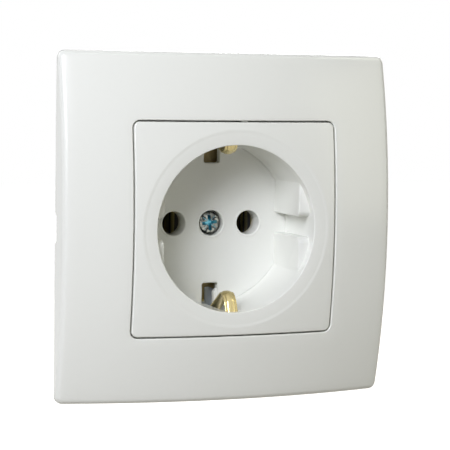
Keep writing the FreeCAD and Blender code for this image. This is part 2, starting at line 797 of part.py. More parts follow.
def make_earth_strap():
    """Brass strap behind the recess floor, with a clip at each end and a tail for its clamp."""
    web = block((-strap_width / 2, strap_width / 2), (strap_front, strap_back), (-strap_end, strap_end))
    collar = rod(strap_collar_radius, (strap_front, strap_back + strap_collar_length))
    upper = side_clip(upper_nose_reach, upper_nose_height, upper_end_height)
    lower = mirrored(side_clip(lower_nose_reach, lower_nose_height, lower_end_height), point(0, 0, 1))
    tab_edge = earth_tab_place + earth_tab_width / 2
    start = earth_tail_outer - earth_tab_length
    height = earth_tail_outer - strap_sheet / 2
    tab = block((0, tab_edge), (strap_front, strap_back), (start, height - tab_bend))
    corners = [(start, strap_middle), (height, strap_middle), (height, cage_back + free_gap)]
    tail = bent_sheet(corners, tab_bend, strap_sheet, lambda up, y: point(earth_tab_place, y, up),
                      point(earth_tab_width, 0, 0))
    split = block((clip_width / 2, earth_tab_place - earth_tab_width / 2), (strap_front - 1, strap_back + 1),
                  (height - tab_bend, clip_leg_place))
    strap = joined([web, collar, upper, lower, tab, tail])
    thread = rod(screw_radius + thread_gap, (strap_front - 1, strap_back + 2 * strap_collar_length))
    return strap.cut([thread, split])


def make_backing_spring(side):
    """Steel leaf that backs a side clip; its tongue lies on the strap."""
    depth = strap_front - backing_sheet / 2
    upstand = clip_leg_place + strap_sheet / 2 + free_gap + backing_sheet / 2
    shoulder = clip_leg_place - shoulder_inset
    tongue_start = shoulder - tongue_length
    corners = [(tongue_start, -depth), (upstand, -depth), (upstand, backing_turn_height - floor_front),
               (clip_leg_place - backing_tip_lean, backing_tip_height - floor_front)]
    leaf = bent_sheet(corners, backing_bend, backing_sheet, lambda up, out: point(0, -out, up),
                      point(backing_width, 0, 0))
    cuts = []
    for edge in (-1, 1):
        cuts.append(block((edge * tongue_width / 2, edge * backing_width), (depth - 1, depth + 1),
                          (tongue_start - 1, shoulder)))
    half = clip_width / 2 + 2 * slide_gap
    cuts.append(block((-half, half), (depth - backing_bend, depth + 1),
                      (clip_leg_place - backing_window_length, upstand - backing_sheet / 2)))
    leaf = leaf.cut(cuts)
    return leaf if side > 0 else mirrored(leaf, point(0, 0, 1))


nodes = {
    "cover_frame": make_cover_frame,
    "centre_plate": make_centre_plate,
    "centre_screw": make_centre_screw,
    "mounting_plate": make_mounting_plate,
    "socket_base": make_socket_base,
    "rear_cover": make_rear_cover,
    "rear_cover_screw_left": lambda: make_cover_screw(0),
    "rear_cover_screw_right": lambda: make_cover_screw(1),
    "live_contact": lambda: make_contact(-1),
    "neutral_contact": lambda: make_contact(1),
    "live_contact_spring": lambda: make_contact_spring(-1),
    "neutral_contact_spring": lambda: make_contact_spring(1),
    "live_terminal": lambda: make_terminal(-1),
    "neutral_terminal": lambda: make_terminal(1),
    "live_terminal_screw": lambda: make_terminal_screw(-1),
    "neutral_terminal_screw": lambda: make_terminal_screw(1),
    "earth_strap": make_earth_strap,
    "upper_clip_spring": lambda: make_backing_spring(1),
    "lower_clip_spring": lambda: make_backing_spring(-1),
    "earth_terminal": make_earth_terminal,
    "earth_terminal_screw": make_earth_terminal_screw,
}

os.makedirs("parts", exist_ok=True)
for name, make in nodes.items():
    shape = make()
    shape.exportStep("parts/" + name + ".step")
    print(name, len(shape.Solids), round(shape.Volume, 1), shape.isValid())
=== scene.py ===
"""Dressed model of a flush wall socket with a round plug recess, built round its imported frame."""

import logging
import math
from dataclasses import dataclass
from enum import Enum
from typing import Any, Iterable, Sequence

import bmesh
import bpy
from mathutils import Euler, Matrix, Vector


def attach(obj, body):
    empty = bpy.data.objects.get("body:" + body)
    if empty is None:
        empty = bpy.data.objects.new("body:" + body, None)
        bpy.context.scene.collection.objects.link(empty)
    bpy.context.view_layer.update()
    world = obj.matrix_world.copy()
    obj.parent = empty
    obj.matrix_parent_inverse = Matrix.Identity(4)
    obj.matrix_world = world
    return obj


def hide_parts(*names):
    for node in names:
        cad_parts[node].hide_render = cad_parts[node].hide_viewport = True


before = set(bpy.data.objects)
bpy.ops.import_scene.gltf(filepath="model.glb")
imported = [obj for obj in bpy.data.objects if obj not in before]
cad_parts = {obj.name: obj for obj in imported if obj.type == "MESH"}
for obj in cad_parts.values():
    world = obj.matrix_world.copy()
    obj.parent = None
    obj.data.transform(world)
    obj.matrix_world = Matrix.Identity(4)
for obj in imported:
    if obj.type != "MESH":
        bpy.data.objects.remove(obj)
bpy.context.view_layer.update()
MM = 0.001
# In millimetres: how close doubles lie, the shortest edge, and how far a cutter reaches past what it cuts.
DOUBLE, SLIVER, CLEAR = 0.001, 0.0002, 1.0
# In metres: how close a vertex counts as lying on the plane that divides a blank.
ON_PLANE = 1e-7
LOG = logging.getLogger("wall_socket")


class Slot(Enum):
    """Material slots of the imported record."""

    COVER = "cover_plastic"
    PLATE = "plate_plastic"
    BASE = "base_plastic"
    REAR = "rear_plastic"
    SHEET = "galvanised_steel"
    SCREW = "zinc_screw"
    BRASS = "contact_brass"
    SPRING = "spring_steel"


class Side(Enum):
    """Left or right of the socket, as seen from the room."""

    LEFT = -1
    RIGHT = 1


class Solver(Enum):
    """What a Boolean does with its cutters."""

    ADD = "UNION"
    CUT = "DIFFERENCE"
    KEEP = "INTERSECT"


def linear(code: str) -> tuple[float, float, float, float]:
    """Turns an sRGB hex value to linear colour.

    Args:
        code: Six hex digits, red first.

    Returns:
        Linear red, green and blue, with an alpha of 1.
    """
    parts = [int(code[i:i + 2], 16) / 255 for i in (0, 2, 4)]
    turned = [p / 12.92 if p <= 0.04045 else ((p + 0.055) / 1.055) ** 2.4 for p in parts]
    return (turned[0], turned[1], turned[2], 1.0)


def add_node(tree: bpy.types.NodeTree, kind: str, settings: dict[str, Any] | None = None,
             inputs: dict[Any, Any] | None = None) -> bpy.types.Node:
    """Adds one node with its settings, values and links.

    Args:
        tree: The tree that gets the node.
        kind: The node's type name.
        settings: Attributes of the node, set before its inputs.
        inputs: Input name or number to a value, or to the output that feeds it.

    Returns:
        The new node.
    """
    node = tree.nodes.new(kind)
    for name, value in (settings or {}).items():
        setattr(node, name, value)
    for key, value in (inputs or {}).items():
        socket = node.inputs[key]
        if isinstance(value, bpy.types.NodeSocket):
            tree.links.new(value, socket)
        else:
            socket.default_value = value
    return node


def cleared(owner: bpy.types.Material | bpy.types.World) -> bpy.types.NodeTree:
    """Gives a material or a world an empty node tree.

    Args:
        owner: The material or world.

    Returns:
        Its tree.
    """
    owner.use_nodes = True
    owner.node_tree.nodes.clear()
    return owner.node_tree


def placed(name: str, data: bpy.types.ID) -> bpy.types.Object:
    """Adds an object to the scene.

    Args:
        name: Name of the object.
        data: Its mesh, lamp or camera.

    Returns:
        The object.
    """
    item = bpy.data.objects.new(name, data)
    bpy.context.scene.collection.objects.link(item)
    return item


class Pattern(Enum):
    """What gives a finish its unevenness."""

    CLOUD = "cloud"
    FLAKE = "flake"


# Values of a pattern that count as all colour and all shade.
MASK_LOW, MASK_HIGH = 0.1, 0.9


@dataclass(frozen=True)
class Finish:
    """One surface, from what it is made of and how it was made.

    Sizes are in millimetres. The streak vector stretches the pattern along the way it was rolled.
    """

    name: str
    colour: str
    shade: str
    roughness: float
    rough_spread: float = 0.05
    metallic: float = 0.0
    ior: float = 1.5
    pattern: Pattern = Pattern.CLOUD
    size: float = 4.0
    streak: tuple[float, float, float] = (1.0, 1.0, 1.0)
    grain: float = 0.5
    relief: float = 0.01
    detail: float = 3.0

    def build(self) -> bpy.types.Material:
        """Makes the material.

        Returns:
            The new node material, on Object coordinates.
        """
        material = bpy.data.materials.new(self.name)
        tree = cleared(material)
        place = add_node(tree, "ShaderNodeTexCoord")
        turn = add_node(tree, "ShaderNodeMapping", inputs={
            "Vector": place.outputs["Object"], "Scale": self.streak})
        per_metre = 1000.0 / self.size
        if self.pattern is Pattern.FLAKE:
            large = add_node(tree, "ShaderNodeTexVoronoi", {"feature": "F1"}, {
                "Vector": turn.outputs[0], "Scale": per_metre, "Randomness": 1.0})
            mask = add_node(tree, "ShaderNodeSeparateColor", inputs={0: large.outputs["Color"]}).outputs[0]
        else:
            large = add_node(tree, "ShaderNodeTexNoise", {"noise_dimensions": "3D"}, {
                "Vector": turn.outputs[0], "Scale": per_metre, "Detail": self.detail, "Roughness": 0.5})
            mask = large.outputs["Fac"]
        fine = add_node(tree, "ShaderNodeTexNoise", {"noise_dimensions": "3D"}, {
            "Vector": turn.outputs[0], "Scale": 1000.0 / self.grain, "Detail": 2.0, "Roughness": 0.5})
        spread = add_node(tree, "ShaderNodeMapRange", inputs={
            "Value": mask, "From Min": MASK_LOW, "From Max": MASK_HIGH, "To Min": 0.0, "To Max": 1.0})
        colour = add_node(tree, "ShaderNodeMix", {"data_type": "RGBA"}, {
            0: spread.outputs[0], 6: linear(self.colour), 7: linear(self.shade)})
        rough = add_node(tree, "ShaderNodeMapRange", inputs={
            "Value": mask, "From Min": MASK_LOW, "From Max": MASK_HIGH,
            "To Min": self.roughness - self.rough_spread, "To Max": self.roughness + self.rough_spread})
        bump = add_node(tree, "ShaderNodeBump", inputs={
            "Height": fine.outputs["Fac"], "Strength": 0.5, "Distance": self.relief * MM})
        settings = {"Base Color": colour.outputs[2], "Roughness": rough.outputs[0],
                    "Normal": bump.outputs[0], "Metallic": self.metallic}
        if self.metallic < 0.5:
            settings["IOR"] = self.ior
        surface = add_node(tree, "ShaderNodeBsdfPrincipled", inputs=settings)
        add_node(tree, "ShaderNodeOutputMaterial", inputs={"Surface": surface.outputs[0]})
        return material


FINISHES: dict[Slot, Finish] = {
    # Injection-moulded white polycarbonate: polished tool, so a soft gloss with hardly any grain.
    Slot.COVER: Finish("moulded_white_cover", "E6E7E2", "E5E6E1", 0.2, 0.02, ior=1.52, size=1.2,
                       grain=0.6, relief=0.0008, detail=1.0),
    # The same plastic, from a second tool with the plug recess in it.
    Slot.PLATE: Finish("moulded_white_plate", "E6E7E2", "E5E6E1", 0.2, 0.02, ior=1.52, size=1.2,
                       grain=0.6, relief=0.0008, detail=1.0),
    # Glass-filled polyamide base: off-white and dull, with a fine fibre grain.
    Slot.BASE: Finish("filled_polyamide_base", "CFCCC0", "C4C0B2", 0.55, 0.06, ior=1.53, size=5.0,
                      grain=0.35, relief=0.02),
    # The rear cover is the same filled polyamide in grey.
    Slot.REAR: Finish("filled_polyamide_rear", "B9BBBA", "AEB0AF", 0.5, 0.06, ior=1.53, size=5.0,
                      grain=0.35, relief=0.02),
    # Hot-dip galvanised sheet: spangle of about 2.6 mm, each crystal a little lighter or darker.
    Slot.SHEET: Finish("galvanised_sheet", "C2C6C9", "AEB3B7", 0.36, 0.06, metallic=1.0,
                       pattern=Pattern.FLAKE, size=2.6, grain=0.5, relief=0.008),
    # Zinc-plated steel, rubbed grey where heads touch: fine flakes from bright grey to nearly black.
    Slot.SCREW: Finish("blue_zinc_screw", "A3A59D", "35393B", 0.34, 0.1, metallic=1.0,
                       pattern=Pattern.FLAKE, size=0.5, grain=0.3, relief=0.05),
    # Rolled brass strip: warm yellow, with faint rolling lines along the strip.
    Slot.BRASS: Finish("rolled_brass", "DDCE9C", "BEAC74", 0.24, 0.06, metallic=0.8, size=1.6,
                       streak=(3.0, 0.5, 0.5), grain=0.4, relief=0.008),
    # Hardened and tempered spring steel: blue-grey, with faint rolling lines.
    Slot.SPRING: Finish("tempered_spring_steel", "C0C8CE", "A2AAB2", 0.42, 0.06, metallic=0.5, size=1.6,
                        streak=(3.0, 0.5, 0.5), grain=0.4, relief=0.008),
}

# The blue passivation lasts only in a screw's recess, where nothing rubs it: a clear teal.
BLUE_RECESS = Finish("blue_passivated_recess", "8AC3CE", "4C9AAE", 0.3, 0.06, metallic=1.0, size=0.7,
                     grain=0.3, relief=0.02)
# Brass that no plug wipes keeps its brown film, so it is dull; its darker, even colour is also painted shade,
# for the deep shaded place behind the floor where it lies.
FILM_AND_SHADE_BRASS = Finish("filmed_rolled_brass", "B4A479", "96865C", 0.5, 0.06, metallic=0.5, size=1.2,
                      streak=(3.0, 0.5, 0.5), grain=0.4, relief=0.008)
# Pin contacts deep in their holes: bright upright lines are painted highlights off the leaves' bends, and the
# dark between them is painted shade.
CONTACT_PAINTED_HIGHLIGHTS = Finish("drawn_brass_contact", "E2D698", "55555C", 0.45, 0.05, metallic=0.5,
                     pattern=Pattern.FLAKE, size=0.9, streak=(1.0, 1.0, 0.01), grain=0.5, relief=0.01)


@dataclass(frozen=True)
class Ring:
    """One closed line round a piece: half side, corner radius, height, and shares of dome and disc."""

    half: float
    corner: float
    height: float
    domed: float = 0.0
    disc: float = 0.0


class MeshTree:
    """Geometry Nodes tree that makes a mesh from the points of a small mesh.

    A kind of tree names its inputs and the attributes of the points, and lays the nodes between them.
    """

    NAME: str = ""
    INPUTS: tuple[tuple[str, str], ...] = ()
    FIELDS: tuple[str, ...] = ()

    def __init__(self) -> None:
        """Builds the node tree once."""
        tree = bpy.data.node_groups.new(self.NAME, "GeometryNodeTree")
        self.tree = tree
        face = tree.interface
        face.new_socket("Geometry", in_out="INPUT", socket_type="NodeSocketGeometry")
        self.sockets = {
            name: face.new_socket(name, in_out="INPUT", socket_type="NodeSocket" + kind).identifier
            for name, kind in (*self.INPUTS, ("Material", "Material"))}
        face.new_socket("Geometry", in_out="OUTPUT", socket_type="NodeSocketGeometry")
        self.given = add_node(tree, "NodeGroupInput")
        real = add_node(tree, "GeometryNodeRealizeInstances", inputs={0: self.lay()})
        dressed = add_node(tree, "GeometryNodeSetMaterial", inputs={
            "Geometry": real.outputs[0], "Material": self.given.outputs["Material"]})
        add_node(tree, "NodeGroupOutput", inputs={0: dressed.outputs[0]})

    def lay(self) -> bpy.types.NodeSocket:
        """Lays the nodes between the inputs and the finished mesh."""
        raise NotImplementedError

    def points(self) -> dict[Any, Any]:
        """Adds nodes for the number of rows in the small mesh and each new point's own number.

        Returns:
            Their outputs, as "rows" and "index".
        """
        count = add_node(self.tree, "GeometryNodeAttributeDomainSize", {"component": "MESH"},
                         {0: self.given.outputs["Geometry"]})
        return {"rows": count.outputs["Point Count"],
                "index": add_node(self.tree, "GeometryNodeInputIndex").outputs[0]}

    def read(self, row: bpy.types.NodeSocket) -> dict[str, bpy.types.NodeSocket]:
        """Adds nodes that read every attribute of one row.

        Args:
            row: The row's number.

        Returns:
            Attribute name to its value in that row.
        """
        found = {}
        for name in self.FIELDS:
            field = add_node(self.tree, "GeometryNodeInputNamedAttribute", {"data_type": "FLOAT"},
                             {"Name": name})
            found[name] = add_node(self.tree, "GeometryNodeSampleIndex", {
                "data_type": "FLOAT", "domain": "POINT"}, {
                0: self.given.outputs["Geometry"], 1: field.outputs[0], "Index": row}).outputs[0]
        return found

    def rows(self, name: str, values: Sequence[Sequence[float]]) -> bpy.types.Mesh:
        """Makes the small mesh, with one point for each row.

        Args:
            name: Name of the mesh.
            values: Each row's attributes, in the order of FIELDS, in metres or as shares.

        Returns:
            The mesh.
        """
        mesh = bpy.data.meshes.new(name)
        mesh.from_pydata([(0.0, 0.0, MM * i) for i in range(len(values))], [], [])
        for field, column in zip(self.FIELDS, zip(*values)):
            mesh.attributes.new(field, "FLOAT", "POINT").data.foreach_set("value", [float(v) for v in column])
        return mesh

    def run(self, name: str, mesh: bpy.types.Mesh, values: dict[str, Any]) -> bpy.types.Mesh:
        """Runs the tree on a small mesh.

        Args:
            name: Name of the new mesh.
            mesh: The small mesh.
            values: Input name to its value.

        Returns:
            A closed mesh in metres, with its faces outwards.
        """
        holder = placed(name, mesh)
        modifier = holder.modifiers.new(self.NAME, "NODES")
        modifier.node_group = self.tree
        for key, value in values.items():
            modifier[self.sockets[key]] = value
        return evaluated(holder, name)


class RingSweep(MeshTree):
    """Geometry Nodes tree that lays a skin over a row of rings, from a square to a circle.

    Each vertex of the object's own mesh is one ring. The tree reads its half side, corner radius, height,
    dome share and round share, and makes one loop of points for it, with a skin from loop to loop.
    """

    NAME = "ring_sweep"
    INPUTS = (("Side Steps", "Int"), ("Corner Steps", "Int"), ("Extra Width", "Float"),
              ("Extra Height", "Float"), ("Dome Radius", "Float"), ("Centre", "Vector"))
    FIELDS = ("half", "corner", "height", "domed", "disc")

    def lay(self) -> bpy.types.NodeSocket:
        """Lays the nodes from the rings to the skin.

        Returns:
            The closed skin.
        """
        tree, given = self.tree, self.given
        known = self.points()
        known.update(side=given.outputs["Side Steps"], corner=given.outputs["Corner Steps"])
        for name, operation, *values in (
                ("turn", "ADD", "side", "corner"), ("loop", "MULTIPLY_ADD", "turn", 4.0, 1.0),
                ("spot", "ADD", "index", 0.5), ("passed", "DIVIDE", "spot", "rows"),
                ("column", "FLOOR", "passed"), ("first", "MULTIPLY", "column", "rows"),
                ("row", "SUBTRACT", "index", "first"), ("place", "ADD", "column", 0.5),
                ("gone", "DIVIDE", "place", "turn"), ("quarter", "FLOOR", "gone"),
                ("begin", "MULTIPLY", "quarter", "turn"), ("step", "SUBTRACT", "column", "begin"),
                ("share", "DIVIDE", "step", "corner"), ("part", "MINIMUM", "share", 1.0),
                ("bend", "MULTIPLY", "part", math.pi / 2), ("past", "SUBTRACT", "step", "corner"),
                ("run", "DIVIDE", "past", "side"), ("along", "MAXIMUM", "run", 0.0),
                ("across", "MULTIPLY_ADD", "along", -2.0, 1.0), ("spin", "MULTIPLY", "quarter", -math.pi / 2),
                ("cosine", "COSINE", "bend"), ("sine", "SINE", "bend")):
            known[name] = add_node(tree, "ShaderNodeMath", {"operation": operation}, {
                i: known.get(value, value) for i, value in enumerate(values)}).outputs[0]
        grid = add_node(tree, "GeometryNodeMeshGrid", inputs={
            "Vertices X": known["loop"], "Vertices Y": known["rows"]})
        facing = add_node(tree, "ShaderNodeVectorRotate", {"rotation_type": "Y_AXIS"}, {
            "Vector": add_node(tree, "ShaderNodeCombineXYZ", inputs={
                0: known["cosine"], 2: known["sine"]}).outputs[0], "Angle": known["spin"]})
        place = add_node(tree, "ShaderNodeVectorRotate", {"rotation_type": "Y_AXIS"}, {
            "Vector": add_node(tree, "ShaderNodeCombineXYZ", inputs={
                0: known["across"], 2: 1.0}).outputs[0], "Angle": known["spin"]})
        ring = self.read(known["row"])
        wide = add_node(tree, "ShaderNodeCombineXYZ", inputs={
            0: given.outputs["Extra Width"], 2: given.outputs["Extra Height"]})
        straight = add_node(tree, "ShaderNodeVectorMath", {"operation": "ADD"}, {
            0: add_node(tree, "ShaderNodeMath", {"operation": "SUBTRACT"}, {
                0: ring["half"], 1: ring["corner"]}).outputs[0], 1: wide.outputs[0]})
        outline = add_node(tree, "ShaderNodeVectorMath", {"operation": "MULTIPLY_ADD"}, {
            0: place.outputs[0], 1: straight.outputs[0],
            2: add_node(tree, "ShaderNodeVectorMath", {"operation": "SCALE"}, {
                0: facing.outputs[0], "Scale": ring["corner"]}).outputs[0]})
        lean = add_node(tree, "ShaderNodeVectorMath", {"operation": "NORMALIZE"}, {0: outline.outputs[0]})
        circle = add_node(tree, "ShaderNodeVectorMath", {"operation": "SCALE"}, {
            0: lean.outputs[0], "Scale": ring["half"]})
        flat = add_node(tree, "ShaderNodeMix", {"data_type": "VECTOR"}, {
            0: ring["disc"], 4: outline.outputs[0], 5: circle.outputs[0]})
        reach = add_node(tree, "ShaderNodeVectorMath", {"operation": "DOT_PRODUCT"}, {
            0: flat.outputs[1], 1: flat.outputs[1]})
        known.update(ring, radius=given.outputs["Dome Radius"], reach=reach.outputs["Value"])
        for name, operation, *values in (
                ("square", "MULTIPLY", "radius", "radius"), ("rest", "SUBTRACT", "square", "reach"),
                ("chord", "SQRT", "rest"), ("sag", "SUBTRACT", "radius", "chord"),
                ("rise", "MULTIPLY_ADD", "sag", "domed", "height")):
            known[name] = add_node(tree, "ShaderNodeMath", {"operation": operation}, {
                i: known.get(value, value) for i, value in enumerate(values)}).outputs[0]
        parts = add_node(tree, "ShaderNodeSeparateXYZ", inputs={0: flat.outputs[1]})
        spot = add_node(tree, "ShaderNodeCombineXYZ", inputs={
            0: parts.outputs[0], 1: known["rise"], 2: parts.outputs[2]})
        moved = add_node(tree, "ShaderNodeVectorMath", {"operation": "ADD"}, {
            0: spot.outputs[0], 1: given.outputs["Centre"]})
        skin = add_node(tree, "GeometryNodeSetPosition", inputs={
            "Geometry": grid.outputs[0], "Position": moved.outputs[0]})
        closed = add_node(tree, "GeometryNodeMergeByDistance", inputs={
            "Geometry": skin.outputs[0], "Distance": 2 * DOUBLE * MM})
        return closed.outputs[0]

    def make(self, name: str, rings: Sequence[Ring], steps: tuple[int, int] = (24, 6),
             extra: tuple[float, float] = (0.0, 0.0), centre: tuple[float, float, float] = (0.0, 0.0, 0.0),
             dome: float = 1000.0) -> bpy.types.Mesh:
        """Runs the tree on one row of rings.

        Args:
            name: Name of the new mesh.
            rings: The rings, in millimetres, in the order in which the skin joins them.
            steps: Steps along each side and round each corner.
            extra: How much wider and higher than square, on each side of the middle.
            centre: Where the rings' middle lies.
            dome: Radius of the dome, for rings that follow it.

        Returns:
            A closed mesh in metres, with its faces outwards.
        """
        mesh = self.rows(name, [(ring.half * MM, ring.corner * MM, ring.height * MM, ring.domed, ring.disc)
                                for ring in rings])
        return self.run(name, mesh, {
            "Side Steps": steps[0], "Corner Steps": steps[1], "Extra Width": extra[0] * MM,
            "Extra Height": extra[1] * MM, "Dome Radius": dome * MM, "Centre": tuple(c * MM for c in centre)})


def evaluated(holder: bpy.types.Object, name: str) -> bpy.types.Mesh:
    """Turns an object with modifiers into a plain closed mesh.

    Args:
        holder: The object, which is removed.
        name: Name of the new mesh.

    Returns:
        The evaluated mesh, with doubles merged and faces outwards.
    """
    bpy.context.view_layer.update()
    graph = bpy.context.evaluated_depsgraph_get()
    mesh = bpy.data.meshes.new_from_object(holder.evaluated_get(graph))
    mesh.name = name
    bpy.data.objects.remove(holder, do_unlink=True)
    settle(mesh)
    return mesh


def sealed(work: bmesh.types.BMesh, mesh: bpy.types.Mesh) -> None:
    """Turns a closed shape's faces outwards and writes it to a mesh.

    Args:
        work: The shape, which is freed.
        mesh: The mesh that gets it.
    """
    bmesh.ops.recalc_face_normals(work, faces=work.faces)
    if work.calc_volume(signed=True) < 0:
        bmesh.ops.reverse_faces(work, faces=work.faces)
    work.to_mesh(mesh)
    work.free()


def settle(mesh: bpy.types.Mesh) -> None:
    """Merges a mesh's doubles, drops its slivers and turns its faces outwards.

    Args:
        mesh: The mesh to change.
    """
    work = bmesh.new()
    work.from_mesh(mesh)
    bmesh.ops.remove_doubles(work, verts=work.verts, dist=DOUBLE * MM)
    bmesh.ops.dissolve_degenerate(work, edges=work.edges, dist=SLIVER * MM)
    sealed(work, mesh)


def flipped(mesh: bpy.types.Mesh) -> None:
    """Mirrors a mesh from top to bottom, with its faces still outwards."""
    mesh.transform(Matrix.Scale(-1, 4, (0, 0, 1)))
    settle(mesh)


def carve(mesh: bpy.types.Mesh, cutters: Iterable[bpy.types.Mesh], how: Solver) -> bpy.types.Mesh:
    """Adds solids to a mesh or cuts them from it, with the exact solver.

    Args:
        mesh: The mesh to change, which is removed.
        cutters: Closed meshes, which are removed.
        how: Whether they are added or cut.

    Returns:
        The new mesh.
    """
    name = mesh.name
    holder = placed(name, mesh)
    tools = []
    for cutter in cutters:
        tool = placed(cutter.name, cutter)
        tools.append(tool)
        modifier = holder.modifiers.new(cutter.name, "BOOLEAN")
        modifier.operation = how.value
        modifier.solver = "EXACT"
        modifier.object = tool
    mesh.name = name + "_before"
    result = evaluated(holder, name)
    for tool in tools:
        bpy.data.objects.remove(tool, do_unlink=True)
    return result


def fillet(half: float, corner: float, height: float, radius: float, start: float, end: float,
           domed: float = 0.0, disc: float = 0.0, steps: int = 6) -> list[Ring]:
    """Rings of one quarter round, from angle start to angle end in degrees.

    At 0 degrees the ring lies on the side, at the given half side; at 90 degrees on the face, at the
    given height. A negative radius rounds an inner edge, whose face lies outside the given half side.

    Args:
        half: Half side where the round meets the side.
        corner: Corner radius there.
        height: Height where the round meets the face, which is the near one.
        radius: The round's radius, negative for an inner edge.
        start: First angle.
        end: Last angle.
        domed: Dome share of the rings.
        disc: Disc share of the rings.
        steps: Number of steps.

    Returns:
        The rings in order.
    """
    found = []
    for i in range(steps + 1):
        angle = math.radians(start + (end - start) * i / steps)
        inset = radius * (1 - math.cos(angle))
        found.append(Ring(half - inset, max(corner - inset, 0.0),
                          height + abs(radius) * (1 - math.sin(angle)), domed, disc))
    return found


def joined(name: str, near: Sequence[tuple[float, float, float]], far: Sequence[tuple[float, float, float]],
           edge: float = 0.0, steps: int = 4, both: bool = False) -> bpy.types.Mesh:
    """Closed solid between two outlines with the same number of corners.

    Args:
        name: Name of the new mesh.
        near: Corners of the near end, in order.
        far: Corners of the far end, in the same order.
        edge: Radius along the near end's edges.
        steps: Steps of that round.
        both: Whether the far end's edges get it as well.

    Returns:
        The closed mesh.
    """
    work = bmesh.new()
    loops = [[work.verts.new(tuple(c * MM for c in spot)) for spot in end] for end in (near, far)]
    for loop in loops:
        work.faces.new(loop)
    for i in range(len(near)):
        j = (i + 1) % len(near)
        work.faces.new((loops[0][i], loops[0][j], loops[1][j], loops[1][i]))
    bmesh.ops.recalc_face_normals(work, faces=work.faces)
    if edge:
        rims = [e for e in work.edges if any(all(v in loop for v in e.verts) for loop in loops[:1 + both])]
        bmesh.ops.bevel(work, geom=rims, offset=edge * MM, segments=steps, profile=0.5, affect="EDGES",
                        clamp_overlap=both)
    mesh = bpy.data.meshes.new(name)
    work.to_mesh(mesh)
    work.free()
    return mesh


def prism(name: str, outline: Sequence[tuple[float, float]], span: tuple[float, float],
          edge: float = 0.0, steps: int = 4) -> bpy.types.Mesh:
    """Bar along Y with a given outline, its near edges rounded.

    Args:
        name: Name of the new mesh.
        outline: Corners in X and Z, in order.
        span: Near and far end.
        edge: Radius along the near edges.
        steps: Steps of that round.

    Returns:
        The closed mesh.
    """
    near, far = ([(x, y, z) for x, z in outline] for y in span)
    return joined(name, near, far, edge, steps)


def plank(name: str, outline: Sequence[tuple[float, float]], place: float, half: float,
          turned: bool = False, edge: float = 0.0) -> bpy.types.Mesh:
    """Flat upright plate with a given outline along it and through it.

    Args:
        name: Name of the new mesh.
        outline: Corners along the plate and in Y.
        place: Where its middle plane lies.
        half: Half its thickness.
        turned: Whether it runs along X instead of Z.
        edge: Radius round both faces.

    Returns:
        The closed mesh.
    """
    near, far = ([(a, y, across) if turned else (across, y, a) for a, y in outline]
                 for across in (place - half, place + half))
    return joined(name, near, far, edge, both=True)


def oblong(left: float, right: float, low: float, high: float) -> list[tuple[float, float]]:
    """Corners of a rectangle, in order."""
    return [(left, low), (right, low), (right, high), (left, high)]


def rounded(corners: Sequence[tuple[float, float, float]], steps: int = 5) -> list[tuple[float, float]]:
    """Outline with rounded corners.

    Args:
        corners: Corners in order, each with its own radius.
        steps: Steps of each round.

    Returns:
        The outline's points.
    """
    points = []
    count = len(corners)
    for i, (x, z, radius) in enumerate(corners):
        here = Vector((x, z))
        if radius <= 0:
            points.append((x, z))
            continue
        before = (Vector(corners[i - 1][:2]) - here).normalized()
        after = (Vector(corners[(i + 1) % count][:2]) - here).normalized()
        half = before.angle(after) / 2
        centre = here + (before + after).normalized() * radius / math.sin(half)
        start = here + before * radius / math.tan(half) - centre
        end = here + after * radius / math.tan(half) - centre
        turn = start.angle_signed(end)
        for k in range(steps + 1):
            angle = -turn * k / steps
            spot = centre + Matrix.Rotation(angle, 2) @ start
            points.append((spot.x, spot.y))
    return points


def dress(name: str, mesh: bpy.types.Mesh, material: bpy.types.Material,
          nodes: Sequence[str], sharp: float = 32.0) -> bpy.types.Object:
    """Makes a finished piece of a mesh, riding on the body, in place of its CAD nodes.

    Args:
        name: Name of the piece.
        mesh: Its mesh, in place.
        material: Its finish.
        nodes: CAD nodes it stands for.
        sharp: Angle in degrees past which an edge is shaded sharp.

    Returns:
        The piece.
    """
    mesh.materials.clear()
    mesh.materials.append(material)
    mesh.shade_smooth()
    mesh.set_sharp_from_angle(angle=math.radians(sharp))
    piece = placed(name, mesh)
    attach(piece, "root")
    if nodes:
        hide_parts(*nodes)
    LOG.info("%s: %d faces", name, len(mesh.polygons))
    return piece


